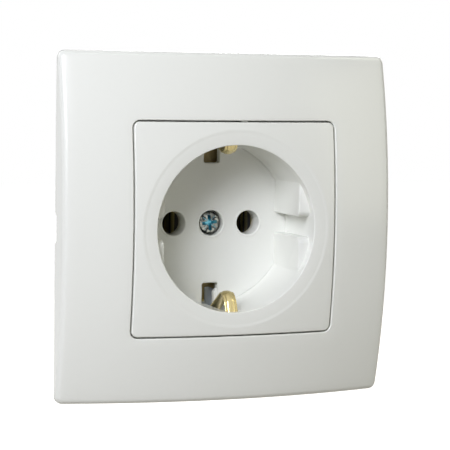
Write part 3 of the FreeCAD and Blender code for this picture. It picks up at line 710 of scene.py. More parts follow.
@dataclass
class CoverFrame:
    """Pillow-shaped cover frame round the square opening, ribbed behind. Sizes in millimetres."""

    half: float = 40.75
    corner: float = 1.8
    edge: float = 1.2
    wall: float = 2.0
    skin: float = 2.2
    dome_radius: float = 157.998
    dome_height: float = 12.4
    opening: float = 25.12
    opening_corner: float = 1.9
    opening_edge: float = 0.3
    rear_band: float = 0.9
    face_corner: float = 0.6
    ledge: float = -5.6
    ledge_back: float = -4.0
    ledge_width: float = 1.2
    ledge_corner: float = 1.4
    collar: float = 1.5
    collar_corner: float = 2.9
    back_corner: float = 2.2
    sheet: float = 1.2
    rib: float = 1.2
    rib_place: float = 17.0
    rib_near: float = -8.2
    rib_far: float = -5.0
    rib_back: float = -1.5
    notch_half: float = 3.5
    notch_depth: float = 1.3
    notch_slant: float = 0.7
    notch_flare: float = 0.4
    notch_lip: float = 0.3
    notch_round: float = 0.4
    key: tuple[float, float, float, float] = (1.05, 2.55, 24.8, 26.0)
    key_span: tuple[float, float] = (-9.6, -5.0)
    key_edge: float = 0.2

    def rings(self) -> list[Ring]:
        """Rings from the rear edge over the front to the opening and back behind.

        Returns:
            The rings in order.
        """
        top = -self.dome_height
        inner = self.half - self.wall
        back = top + self.skin
        collar = self.opening + self.collar
        lip = self.opening - self.ledge_width
        found = [Ring(self.half, self.corner, 0.0), Ring(self.half, self.corner, -self.rear_band)]
        found += fillet(self.half, self.corner, top, self.edge, 0, 90, 1.0)
        first, last = self.half - self.edge, self.opening + self.opening_edge
        gain = self.opening_corner + self.opening_edge - self.face_corner
        for i in range(1, 7):
            share = i / 7
            found.append(Ring(first + (last - first) * share, self.face_corner + gain * share, top, 1.0))
        found += fillet(self.opening, self.opening_corner, top, -self.opening_edge, 90, 0, 1.0)
        found += [Ring(self.opening, self.opening_corner, self.ledge),
                  Ring(lip, self.ledge_corner, self.ledge), Ring(lip, self.ledge_corner, self.ledge_back),
                  Ring(self.opening, self.ledge_corner, self.ledge_back),
                  Ring(self.opening, self.ledge_corner, -self.sheet),
                  Ring(collar, self.collar_corner, -self.sheet), Ring(collar, self.collar_corner, back, 1.0)]
        found += [Ring(collar + (inner - collar) * i / 4, self.back_corner, back, 1.0) for i in range(1, 4)]
        found += [Ring(inner, self.corner, back, 1.0), Ring(inner, self.corner, 0.0),
                  Ring(self.half, self.corner, 0.0)]
        return found

    def ribs(self) -> list[bpy.types.Mesh]:
        """Eight ribs behind the skin, from the collar to the side walls.

        Returns:
            Their meshes.
        """
        near, far = self.opening + self.collar / 2, self.half - self.wall / 2
        found = []
        for place in (-self.rib_place, self.rib_place):
            for side in (-1, 1):
                outline = [(side * near, self.rib_near), (side * far, self.rib_far),
                           (side * far, self.rib_back), (side * near, self.rib_back)]
                for turned in (False, True):
                    found.append(plank(f"frame_rib_{len(found)}", outline, place, self.rib / 2, turned))
        return found

    def notch(self) -> bpy.types.Mesh:
        """Cutter for the levering notch in the left rear edge.

        Returns:
            Its mesh.
        """
        half, lip = self.notch_half, self.notch_lip
        right = [(half + self.notch_flare, CLEAR, 0), (half + self.notch_flare, 0.0, 0), (half, -lip, lip),
                 (half - self.notch_slant, -self.notch_depth, self.notch_round)]
        profile = rounded(right + [(-z, y, radius) for z, y, radius in reversed(right)])
        ends = [[(x, y, z) for z, y in profile] for x in (-self.half - CLEAR, -self.half + self.wall * 1.5)]
        return joined("notch", *ends)

    def build(self, sweep: RingSweep, material: bpy.types.Material) -> bpy.types.Object:
        """Makes the frame in place of its CAD node.

        Args:
            sweep: The ring tree.
            material: The moulded plastic.

        Returns:
            The piece.
        """
        mesh = sweep.make("frame_shell", self.rings(), (40, 8), dome=self.dome_radius)
        key = prism("plate_key", oblong(*self.key), self.key_span, self.key_edge, 3)
        mesh = carve(mesh, self.ribs() + [key], Solver.ADD)
        mesh = carve(mesh, [self.notch()], Solver.CUT)
        return dress("cover_frame_shell", mesh, material, ["cover_frame"])


@dataclass
class CentrePlate:
    """Square plate and round plug recess, moulded in one. Sizes in millimetres."""

    half: float = 24.75
    corner: float = 1.4
    edge: float = 0.3
    wall: float = 1.8
    skin: float = 2.0
    rear: float = -5.6
    dome_radius: float = 157.998
    dome_height: float = 12.4
    ring: float = 22.6
    ring_height: float = -10.6
    step: float = 1.1
    recess: float = 19.5
    draft: float = 0.1
    rim: float = 0.22
    seam: float = 0.1
    cup: float = 21.1
    floor: float = 6.9
    floor_back: float = 8.9
    guide_face: float = 16.45
    guide_left: float = 0.65
    guide_gap: float = 2.4
    guide_reach: float = 13.0
    guide_top: float = -8.4
    guide_round: float = 1.7
    guide_edge: float = 0.3
    pin_place: float = 9.5
    pin_hole: float = 2.9
    land: float = 0.55
    land_rise: float = 0.12
    sleeve: float = 4.0
    sleeve_end: float = 10.5
    boss_end: float = 11.5
    screw_hole: float = 3.05
    screw_seat: float = 10.1
    screw_way: float = 2.05
    hole_flare: float = 0.3
    land_root: float = 0.5
    boss_start: float = 1.1
    mouth: tuple[float, float] = (0.05, 0.01)
    mouth_start: float = 2.0
    floor_rings: tuple[float, ...] = (0.0, 4.0, 10.0, 16.0)
    back_ring: float = 12.0
    wall_corner: float = 0.8
    back_corner: float = 0.4
    gusset_near: tuple[float, float] = (20.4, -8.6)
    gusset_far: tuple[float, float] = (31.3, -8.2)
    gusset_half: float = 0.6
    slot_low: float = 14.5
    slot_high: float = 22.5
    slot_half: float = 2.0
    slot_corner: float = 0.5
    slot_flare: float = 0.35
    slot_mouth_corners: tuple[float, float] = (0.9, 0.86)
    slot_mouth: tuple[float, float] = (0.02, 0.004)
    slot_back: float = 13.0
    wall_slot: tuple[float, float, float, float] = (-1.8, 1.8, 18.3, 23.0)
    wall_slot_front: float = -9.0
    wall_slot_edge: float = 0.4
    stop: tuple[tuple[float, float, float], ...] = (
        (2.3, -15.7, 0.0), (1.2, -16.7, 0.7), (1.25, -21.0, 0.2), (2.3, -21.0, 0.0))
    stop_front: float = 7.5
    stop_edge: float = 0.25
    stop_lap: float = 0.01

    def rings(self) -> list[Ring]:
        """Rings from the middle of the recess floor over rim and face, and behind to the middle again.

        Returns:
            The rings in order.
        """
        top = -self.dome_height
        deep = self.recess - self.draft
        found = [Ring(r, 0, self.floor, 0, 1) for r in self.floor_rings]
        found += [Ring(deep - self.seam, 0, self.floor, 0, 1),
                  Ring(deep - self.seam / 2, 0, self.floor + self.seam, 0, 1),
                  Ring(deep, 0, self.floor, 0, 1)]
        for i in range(1, 6):
            share = i / 6
            found.append(Ring(deep + self.draft * share, 0,
                              self.floor + (self.ring_height + self.rim - self.floor) * share, 0, 1))
        found += fillet(self.recess, 0, self.ring_height, -self.rim, 0, 90, 0, 1)
        level = self.ring_height - (self.dome_radius - math.sqrt(self.dome_radius ** 2 - self.ring ** 2))
        for i in range(9):
            share = i / 8
            ease = share * share * (3 - 2 * share)
            found.append(Ring(self.ring + self.step * (share - 0.5), 0, level + (top - level) * ease, 1, 1))
        first, last = self.ring + self.step / 2, self.half - self.edge
        for i in range(1, 5):
            share = i / 5
            found.append(Ring(first + (last - first) * share, (self.corner - self.edge) * share, top, 1,
                              1 - share))
        found += fillet(self.half, self.corner, top, self.edge, 90, 0, 1)
        found += [Ring(self.half, self.corner, self.rear),
                  Ring(self.half - self.wall, self.wall_corner, self.rear),
                  Ring(self.half - self.wall, self.wall_corner, top + self.skin, 1)]
        for i in range(1, 4):
            share = i / 4
            found.append(Ring(self.half - self.wall + (self.cup - self.half + self.wall) * share,
                              self.back_corner, top + self.skin, 1, share))
        found += [Ring(self.cup, 0, top + self.skin, 1, 1), Ring(self.cup, 0, self.floor_back, 0, 1),
                  Ring(self.back_ring, 0, self.floor_back, 0, 1), Ring(0.0, 0, self.floor_back, 0, 1)]
        return found

    def guides(self, sweep: RingSweep) -> list[bpy.types.Mesh]:
        """Two pairs of guide ribs on the recess floor, at left and right.

        Args:
            sweep: The ring tree.

        Returns:
            The four ribs, cut off inside the recess wall.
        """
        found = []
        for side in Side:
            face = self.guide_face + (self.guide_left if side is Side.LEFT else 0.0)
            half = (self.cup - face) / 2
            for above in (-1, 1):
                name = f"guide_{side.name.lower()}_{above + 1}"
                outline = rounded([(above * self.guide_gap, self.guide_top, self.guide_round),
                                   (above * self.guide_reach, self.guide_top, 0),
                                   (above * self.guide_reach, self.floor + CLEAR, 0),
                                   (above * self.guide_gap, self.floor + CLEAR, 0)], 7)
                rib = plank(name, outline, side.value * (face + half), half, edge=self.guide_edge)
                rod = self.bar(sweep, name + "_reach", (self.recess + self.cup) / 2,
                               (self.guide_top - CLEAR, self.floor + 2 * CLEAR), steps=(24, 2))
                found.append(carve(rib, [rod], Solver.KEEP))
        return found

    def bar(self, sweep: RingSweep, name: str, radius: float, span: tuple[float, float],
            x: float = 0.0, flare: float = 0.0, steps: tuple[int, int] = (14, 2)) -> bpy.types.Mesh:
        """Round bar along Y, whose near end may flare out or be rounded off.

        Args:
            sweep: The ring tree.
            name: Name of the mesh.
            radius: The bar's radius.
            span: Near and far end; the rim's face lies at the near end.
            x: Place across.
            flare: Radius of the flare, or of the rounded end where it is negative.
            steps: Steps along a side and round a corner of the ring tree.

        Returns:
            The closed mesh.
        """
        wide, close = self.mouth
        rings = [Ring(0, 0, span[0] - (self.mouth_start if flare > 0 else 0.0), 0, 1)]
        if flare > 0:
            rings.append(Ring(radius + flare + wide, 0, span[0] - self.mouth_start, 0, 1))
            rings.append(Ring(radius + flare + close, 0, span[0] - close, 0, 1))
        rings += (fillet(radius, 0, span[0], -flare, 90, 0, 0, 1, 5) if flare
                  else [Ring(radius, 0, span[0], 0, 1)])
        rings += [Ring(radius, 0, span[1], 0, 1), Ring(0, 0, span[1], 0, 1)]
        return sweep.make(name, rings, steps, centre=(x, 0.0, 0.0))

    def slots(self, sweep: RingSweep) -> list[bpy.types.Mesh]:
        """Cutters for the floor slots and wall slots at top and bottom.

        Args:
            sweep: The ring tree.

        Returns:
            Their meshes.
        """
        flare, (wide, close) = self.slot_flare, self.mouth
        rings = [Ring(flare + wide, self.slot_mouth_corners[0], self.floor - self.mouth_start),
                 Ring(flare + close, self.slot_mouth_corners[1], self.floor - self.slot_mouth[0])]
        rings += fillet(0, self.slot_corner, self.floor - self.slot_mouth[1], -flare, 90, 0, 0, 0, 4)
        rings.append(Ring(0, self.slot_corner, self.slot_back))
        rings = [Ring(ring.half + self.slot_half, ring.corner, ring.height) for ring in rings]
        height = (self.slot_high - self.slot_low) / 2
        found = []
        for up in (-1, 1):
            found.append(self.solid(f"floor_slot_{up + 1}", rings, (0.0, height - self.slot_half),
                                    (0.0, 0.0, up * (self.slot_low + height)), sweep))
            found.append(prism(f"wall_slot_{up + 1}", [(x, up * z) for x, z in oblong(*self.wall_slot)],
                               (self.wall_slot_front, self.slot_back), self.wall_slot_edge))
        return found

    @staticmethod
    def solid(name: str, body: Sequence[Ring], extra: tuple[float, float],
              centre: tuple[float, float, float], sweep: RingSweep) -> bpy.types.Mesh:
        """Closed bar with rounded corners from open rings, capped at both ends.

        Args:
            name: Name of the mesh.
            body: Rings from the near end to the far end.
            extra: How much wider and higher than square, on each side.
            centre: Its place.
            sweep: The ring tree.

        Returns:
            The closed mesh.
        """
        mesh = sweep.make(name, body, (2, 6), extra=extra, centre=centre)
        work = bmesh.new()
        work.from_mesh(mesh)
        bmesh.ops.holes_fill(work, edges=[e for e in work.edges if e.is_boundary], sides=0)
        sealed(work, mesh)
        return mesh

    def build(self, sweep: RingSweep, material: bpy.types.Material) -> bpy.types.Object:
        """Makes the plate with its recess in place of its CAD node.

        Args:
            sweep: The ring tree.
            material: The moulded plastic.

        Returns:
            The piece.
        """
        mesh = sweep.make("plate_shell", self.rings(), (40, 8), dome=self.dome_radius)
        added = self.guides(sweep)
        for side in Side:
            added.append(self.bar(sweep, f"sleeve_{side.name.lower()}", self.sleeve,
                                  (self.floor + CLEAR, self.sleeve_end), side.value * self.pin_place))
        added.append(self.bar(sweep, "boss", self.sleeve, (self.floor + self.boss_start, self.boss_end)))
        holes = (("left", -self.pin_place, self.pin_hole), ("middle", 0.0, self.screw_hole),
                 ("right", self.pin_place, self.pin_hole))
        near = self.floor - self.land_rise
        for name, place, radius in holes:
            added.append(self.bar(sweep, f"land_{name}", radius + self.land,
                                  (near, self.floor + self.land_root), place, -self.land_rise))
        outline = [self.gusset_near, self.gusset_far, (self.gusset_far[0], self.rear),
                   (self.gusset_near[0], self.rear)]
        for turn in (45, 135, 225, 315):
            gusset = plank(f"gusset_{turn}", outline, 0.0, self.gusset_half)
            gusset.transform(Matrix.Rotation(math.radians(turn), 4, "Y"))
            added.append(gusset)
        mesh = carve(mesh, added, Solver.ADD)
        cuts = []
        for name, place, radius in holes:
            span = (near, self.sleeve_end + CLEAR if place else self.screw_seat)
            cuts.append(self.bar(sweep, f"hole_{name}", radius, span, place, self.hole_flare))
        cuts.append(self.bar(sweep, "screw_way", self.screw_way, (self.floor - CLEAR, self.boss_end + CLEAR)))
        mesh = carve(carve(mesh, self.slots(sweep), Solver.CUT), cuts, Solver.CUT)
        stop = prism("slot_stop", rounded(self.stop), (self.stop_front, self.floor_back - self.stop_lap),
                     self.stop_edge, 3)
        mesh = carve(mesh, [stop], Solver.ADD)
        return dress("centre_plate_shell", mesh, material, ["centre_plate"])


class ScrewTurner(MeshTree):
    """Geometry Nodes tree that turns a screw and rolls a real helical thread on it.

    Each vertex of the object's own mesh is one turned station, with its radius, its distance from the
    head's top and its thread depth. The axis runs along Y, away from the head, before the lean is set.
    """

    NAME = "screw_turner"
    INPUTS = (("Steps", "Int"), ("Pitch", "Float"), ("Lean", "Vector"), ("Place", "Vector"))
    FIELDS = ("radius", "depth", "thread")

    def lay(self) -> bpy.types.NodeSocket:
        """Lays the nodes from the stations to the screw.

        Returns:
            The closed screw, in its place.
        """
        tree, given = self.tree, self.given
        known = self.points()
        known.update(steps=given.outputs["Steps"], pitch=given.outputs["Pitch"])
        for name, operation, *values in (
                ("columns", "ADD", "steps", 1.0), ("spot", "ADD", "index", 0.5),
                ("passed", "DIVIDE", "spot", "rows"), ("column", "FLOOR", "passed"),
                ("first", "MULTIPLY", "column", "rows"), ("row", "SUBTRACT", "index", "first"),
                ("share", "DIVIDE", "column", "steps"), ("angle", "MULTIPLY", "share", math.tau)):
            known[name] = add_node(tree, "ShaderNodeMath", {"operation": operation}, {
                i: known.get(value, value) for i, value in enumerate(values)}).outputs[0]
        grid = add_node(tree, "GeometryNodeMeshGrid", inputs={
            "Vertices X": known["columns"], "Vertices Y": known["rows"]})
        known.update(self.read(known["row"]))
        for name, operation, *values in (
                ("turns", "DIVIDE", "depth", "pitch"), ("lag", "SUBTRACT", "turns", "share"),
                ("phase", "FRACT", "lag"), ("slant", "MULTIPLY_ADD", "phase", 2.0, -1.0),
                ("ridge", "ABSOLUTE", "slant"), ("cut", "MULTIPLY", "ridge", "thread"),
                ("reach", "SUBTRACT", "radius", "cut"), ("cosine", "COSINE", "angle"),
                ("sine", "SINE", "angle"), ("right", "MULTIPLY", "reach", "cosine"),
                ("up", "MULTIPLY", "reach", "sine")):
            known[name] = add_node(tree, "ShaderNodeMath", {"operation": operation}, {
                i: known.get(value, value) for i, value in enumerate(values)}).outputs[0]
        spot = add_node(tree, "ShaderNodeCombineXYZ", inputs={
            0: known["right"], 1: known["depth"], 2: known["up"]})
        skin = add_node(tree, "GeometryNodeSetPosition", inputs={
            "Geometry": grid.outputs[0], "Position": spot.outputs[0]})
        closed = add_node(tree, "GeometryNodeMergeByDistance", inputs={
            "Geometry": skin.outputs[0], "Distance": DOUBLE * MM})
        moved = add_node(tree, "GeometryNodeTransform", inputs={
            "Geometry": closed.outputs[0], "Translation": given.outputs["Place"],
            "Rotation": given.outputs["Lean"]})
        return moved.outputs[0]

    def make(self, name: str, stations: Sequence[tuple[float, float, float]], pitch: float, steps: int,
             lean: tuple[float, float, float], place: tuple[float, float, float]) -> bpy.types.Mesh:
        """Runs the tree on one screw.

        Args:
            name: Name of the new mesh.
            stations: Radius, distance from the head's top and thread depth of each station.
            pitch: Thread pitch.
            steps: Steps round the screw.
            lean: Turn of the axis from Y, in radians.
            place: Where the middle of the head's top lies.

        Returns:
            A closed mesh with its faces outwards.
        """
        mesh = self.rows(name, [[size * MM for size in station] for station in stations])
        return self.run(name, mesh, {"Steps": steps, "Pitch": pitch * MM, "Lean": lean,
                                     "Place": tuple(c * MM for c in place)})


class Drive(Enum):
    """What a screwdriver turns a screw by."""

    CROSS = "cross"
    SLOT = "slot"


@dataclass(frozen=True)
class Cut:
    """Tapered cut across a head: half length and half width at its top and at its bottom, and depth."""

    top: tuple[float, float]
    low: tuple[float, float]
    depth: float


@dataclass
class Screw:
    """One screw with a rolled thread and a driven head. Sizes in millimetres."""

    name: str
    node: str
    place: tuple[float, float, float]
    lean: tuple[float, float, float] = (0.0, 0.0, 0.0)
    head_radius: float = 2.75
    head_height: float = 2.3
    head_round: float = 0.7
    crown: float = 0.12
    shank: float = 1.75
    length: float = 9.0
    tip: float = 0.4
    pitch: float = 0.6
    thread: float = 0.28
    drive: Drive = Drive.CROSS
    turn: float = 83.0
    arm: Cut = Cut((1.95, 0.42), (0.8, 0.28), 1.35)
    mark: Cut = Cut((2.2, 0.13), (2.0, 0.06), 0.25)
    slot_halves: tuple[float, float] = (0.4, 0.38)
    slot_depth: float = 1.0
    cut_rise: float = 0.3
    trim: float = 0.1
    neck: float = 0.15
    neck_length: float = 0.25
    thread_rows: int = 6
    thread_start: float = 0.3
    plated: tuple[float, float] = (0.14, 1.5)
    rubbed_rim: float = 0.35
    sides: int = 36

    def stations(self) -> list[tuple[float, float, float]]:
        """Turned stations from the middle of the head's top to the tip.

        Returns:
            Radius, distance from the head's top and thread depth of each.
        """
        flat, bow, trim = self.head_radius - self.head_round, self.crown * 0.5, self.trim
        found = [(flat * i / 5, self.crown * (i / 5) ** 2 * 0.5, 0.0) for i in range(6)]
        for i in range(1, 8):
            angle = math.radians(90 * i / 7)
            found.append((flat + self.head_round * math.sin(angle),
                          bow + (self.head_round - bow) * (1 - math.cos(angle)), 0.0))
        found += [(self.head_radius, self.head_height - trim, 0.0),
                  (self.head_radius - trim, self.head_height, 0.0),
                  (self.shank + self.neck, self.head_height, 0.0)]
        start, end = self.head_height + self.neck_length, self.head_height + self.length - self.tip
        found.append((self.shank - self.thread / 2, start - trim, 0.0))
        rows = int((end - start) / self.pitch * self.thread_rows)
        for i in range(rows + 1):
            share = i / rows
            found.append((self.shank, start + (end - start) * share,
                          self.thread * min(1.0, share * rows / self.thread_rows + self.thread_start)))
        found += [(self.shank - self.tip - trim, self.head_height + self.length, 0.0),
                  (0.0, self.head_height + self.length, 0.0)]
        return found

    def cutters(self) -> list[bpy.types.Mesh]:
        """Solids that the driver's recess is cut with, on an upright screw.

        Returns:
            Their meshes.
        """
        if self.drive is Drive.SLOT:
            reach = self.head_radius + CLEAR
            slot = Cut((reach, self.slot_halves[0]), (reach, self.slot_halves[1]), self.slot_depth)
            return [self.wedge("slot", slot, 0.0)]
        return [self.wedge(f"{name}_{angle}", cut, self.turn + angle)
                for name, cut, angle in (("arm", self.arm, 0), ("arm", self.arm, 90),
                                         ("mark", self.mark, 45), ("mark", self.mark, 135))]

    def wedge(self, name: str, cut: Cut, turn: float) -> bpy.types.Mesh:
        """Tapered bar across the head, from a little above it.

        Args:
            name: Name of the mesh.
            cut: Its sizes.
            turn: Its turn about the axis in degrees.

        Returns:
            The closed mesh.
        """
        above = 1.0 + self.cut_rise / cut.depth * (1 - cut.low[0] / cut.top[0])
        ends = [[(x * reach * scale, height, z * half) for x, z in oblong(-1, 1, -1, 1)]
                for (reach, half), height, scale in (
                    (cut.top, -self.cut_rise, above), (cut.low, cut.depth, 1.0))]
        mesh = joined(name, *ends)
        mesh.transform(Matrix.Rotation(math.radians(turn), 4, "Y"))
        return mesh

    def build(self, turner: ScrewTurner, material: bpy.types.Material,
              inner: bpy.types.Material) -> bpy.types.Object:
        """Makes the screw in place of its CAD node.

        Args:
            turner: The screw tree.
            material: Its plating, rubbed where the driver and the tumbling reach.
            inner: The plating in the recess.

        Returns:
            The piece.
        """
        mesh = turner.make(self.name, self.stations(), self.pitch, self.sides, self.lean, self.place)
        stand = Matrix.Translation(Vector(self.place) * MM) @ Euler(self.lean).to_matrix().to_4x4()
        cutters = self.cutters()
        for cutter in cutters:
            cutter.transform(stand)
        mesh = carve(mesh, cutters, Solver.CUT)
        piece = dress(self.name, mesh, material, [self.node], sharp=40.0)
        mesh.materials.append(inner)
        upright = stand.inverted()
        low, high = self.plated
        for face in mesh.polygons:
            spot = upright @ face.center / MM
            if low < spot.y < high and math.hypot(spot.x, spot.z) < self.head_radius - self.rubbed_rim:
                face.material_index = 1
        return piece


COVER_SCREW: dict[str, Any] = {
    "head_radius": 2.6, "head_height": 1.3, "head_round": 0.65, "crown": 0.1, "shank": 1.45, "length": 11.9,
    "tip": 0.7, "pitch": 1.1, "thread": 0.3}
CLAMP_SCREW: dict[str, Any] = {
    "head_radius": 2.7, "head_height": 2.0, "head_round": 0.3, "crown": 0.05, "shank": 1.75, "length": 4.25,
    "tip": 0.3, "pitch": 0.6, "thread": 0.25, "drive": Drive.SLOT}
QUARTER = math.pi / 2
SCREWS: list[Screw] = [
    Screw("centre_screw_m3p5", "centre_screw", (0.0, 7.8, 0.0)),
    Screw("cover_screw_left", "rear_cover_screw_left", (-12.374, 30.7, 12.374), (math.pi, 0.0, 0.0),
          **COVER_SCREW),
    Screw("cover_screw_right", "rear_cover_screw_right", (12.374, 30.7, -12.374), (math.pi, 0.0, 0.0),
          **COVER_SCREW),
    Screw("live_clamp_screw", "live_terminal_screw", (-27.5, 23.8, 0.0), (0.0, 0.0, -QUARTER), **CLAMP_SCREW),
    Screw("neutral_clamp_screw", "neutral_terminal_screw", (27.5, 23.8, 0.0), (0.0, 0.0, QUARTER),
          **CLAMP_SCREW),
    Screw("earth_clamp_screw", "earth_terminal_screw", (5.6, 23.8, 26.3), (-QUARTER, 0.0, 0.0),
          **(CLAMP_SCREW | {"length": 4.05})),
]


@dataclass
class BentLine:
    """Centre line of a sheet strip: straight runs with rounded bends. Sizes in millimetres."""

    corners: Sequence[tuple[float, float]]
    bend: float
    step: float = 7.0

    def runs(self) -> list[tuple[float, Vector, Vector, float]]:
        """Straight runs and bends of the line.

        Returns:
            Length, start, direction and turn of each, in order.
        """
        spots = [Vector(c) for c in self.corners]
        steps = [(b - a).normalized() for a, b in zip(spots, spots[1:])]
        found = []
        here = spots[0]
        for corner, before, after in zip(spots[1:-1], steps, steps[1:]):
            turn = before.angle_signed(after)
            reach = self.bend * math.tan(abs(turn) / 2)
            start = corner - before * reach
            found.append(((start - here).length, here, before, 0.0))
            found.append((self.bend * abs(turn), start, before, turn))
            here = corner + after * reach
        found.append(((spots[-1] - here).length, here, steps[-1], 0.0))
        return found

    def length(self) -> float:
        """Length of the whole line."""
        return sum(run[0] for run in self.runs())

    def at(self, distance: float) -> tuple[Vector, Vector]:
        """Finds a place on the line.

        Args:
            distance: Distance along it.

        Returns:
            The point and the direction there.
        """
        runs = self.runs()
        for number, (length, start, way, turn) in enumerate(runs):
            if distance <= length or number == len(runs) - 1:
                if not turn:
                    return start + way * distance, way
                angle = -turn * distance / length
                side = Vector((-way.y, way.x)) * (1 if turn < 0 else -1)
                centre = start + side * self.bend
                spin = Matrix.Rotation(angle, 2)
                return centre + spin @ (start - centre), spin @ way
            distance -= length
        return runs[-1][1], runs[-1][2]

    def cuts(self) -> list[float]:
        """Places at which a flat blank is divided before it is bent, one for each step of a bend.

        Returns:
            Their distances along the line.
        """
        found = []
        place = 0.0
        for length, _, _, turn in self.runs():
            parts = max(2, int(abs(math.degrees(turn)) / self.step)) if turn else 1
            found += [place + length * i / parts for i in range(parts)]
            place += length
        return found[1:]


def bend_blank(mesh: bpy.types.Mesh, line: BentLine) -> None:
    """Bends a flat closed blank along a line.

    Args:
        mesh: The blank: X across, Z along the line, Y its thickness about zero. It ends up with the
            line's first coordinate along Z and its second along Y.
        line: The line.
    """
    work = bmesh.new()
    work.from_mesh(mesh)
    for distance in line.cuts():
        bmesh.ops.bisect_plane(work, geom=work.verts[:] + work.edges[:] + work.faces[:], dist=ON_PLANE,
                               plane_co=(0, 0, distance * MM), plane_no=(0, 0, 1))
    for vertex in work.verts:
        spot, way = line.at(vertex.co.z / MM)
        out = Vector((-way.y, way.x))
        place = spot + out * (vertex.co.y / MM)
        vertex.co = (vertex.co.x, place.y * MM, place.x * MM)
    sealed(work, mesh)


class StripRoller(MeshTree):
    """Geometry Nodes tree that runs a rolled section along a bent line.

    The object's own mesh is the line, as straight edges in X and Y, with each corner's bend radius in the
    attribute "bend". The section is another object's outline, thickness along X and width along Y.
    """

    NAME = "strip_roller"
    INPUTS = (("Section", "Object"), ("Bend Steps", "Int"))
    BEND_STEPS = 9

    def lay(self) -> bpy.types.NodeSocket:
        """Lays the nodes from the line to the strip.

        Returns:
            The strip, its ends closed.
        """
        tree, given = self.tree, self.given
        bend = add_node(tree, "GeometryNodeInputNamedAttribute", {"data_type": "FLOAT"}, {"Name": "bend"})
        line = add_node(tree, "GeometryNodeMeshToCurve", inputs={0: given.outputs["Geometry"]})
        soft = add_node(tree, "GeometryNodeFilletCurve", {"mode": "POLY"}, {
            "Curve": line.outputs[0], "Count": given.outputs["Bend Steps"], "Radius": bend.outputs[0]})
        upright = add_node(tree, "GeometryNodeSetCurveNormal", {"mode": "Z_UP"}, {0: soft.outputs[0]})
        other = add_node(tree, "GeometryNodeObjectInfo", {"transform_space": "ORIGINAL"},
                         {"Object": given.outputs["Section"]})
        section = add_node(tree, "GeometryNodeMeshToCurve", inputs={0: other.outputs["Geometry"]})
        strip = add_node(tree, "GeometryNodeCurveToMesh", inputs={
            "Curve": upright.outputs[0], "Profile Curve": section.outputs[0], "Fill Caps": True})
        return strip.outputs[0]

    def make(self, name: str, corners: Sequence[tuple[float, float]], bend: float,
             section: Sequence[tuple[float, float]], across: float = 0.0) -> bpy.types.Mesh:
        """Runs the tree on one strip.

        Args:
            name: Name of the new mesh.
            corners: The line's corners, first coordinate up and second towards the room.
            bend: Bend radius of each corner.
            section: Outline of the section, thickness and width.
            across: Where the strip lies in X.

        Returns:
            A closed mesh with its faces outwards.
        """
        mesh = bpy.data.meshes.new(name)
        mesh.from_pydata([(x * MM, y * MM, 0.0) for x, y in corners],
                         [(i, i + 1) for i in range(len(corners) - 1)], [])
        layer = mesh.attributes.new("bend", "FLOAT", "POINT")
        layer.data.foreach_set("value", [bend * MM] * len(corners))
        outline = bpy.data.meshes.new(name + "_section")
        count = len(section)
        outline.from_pydata([(x * MM, y * MM, 0.0) for x, y in section],
                            [(i, (i + 1) % count) for i in range(count)], [])
        other = placed(name + "_section", outline)
        result = self.run(name, mesh, {"Section": other, "Bend Steps": self.BEND_STEPS})
        bpy.data.objects.remove(other, do_unlink=True)
        result.transform(Matrix(((0, 0, 1, across * MM), (0, -1, 0, 0), (1, 0, 0, 0), (0, 0, 0, 1))))
        settle(result)
        return result


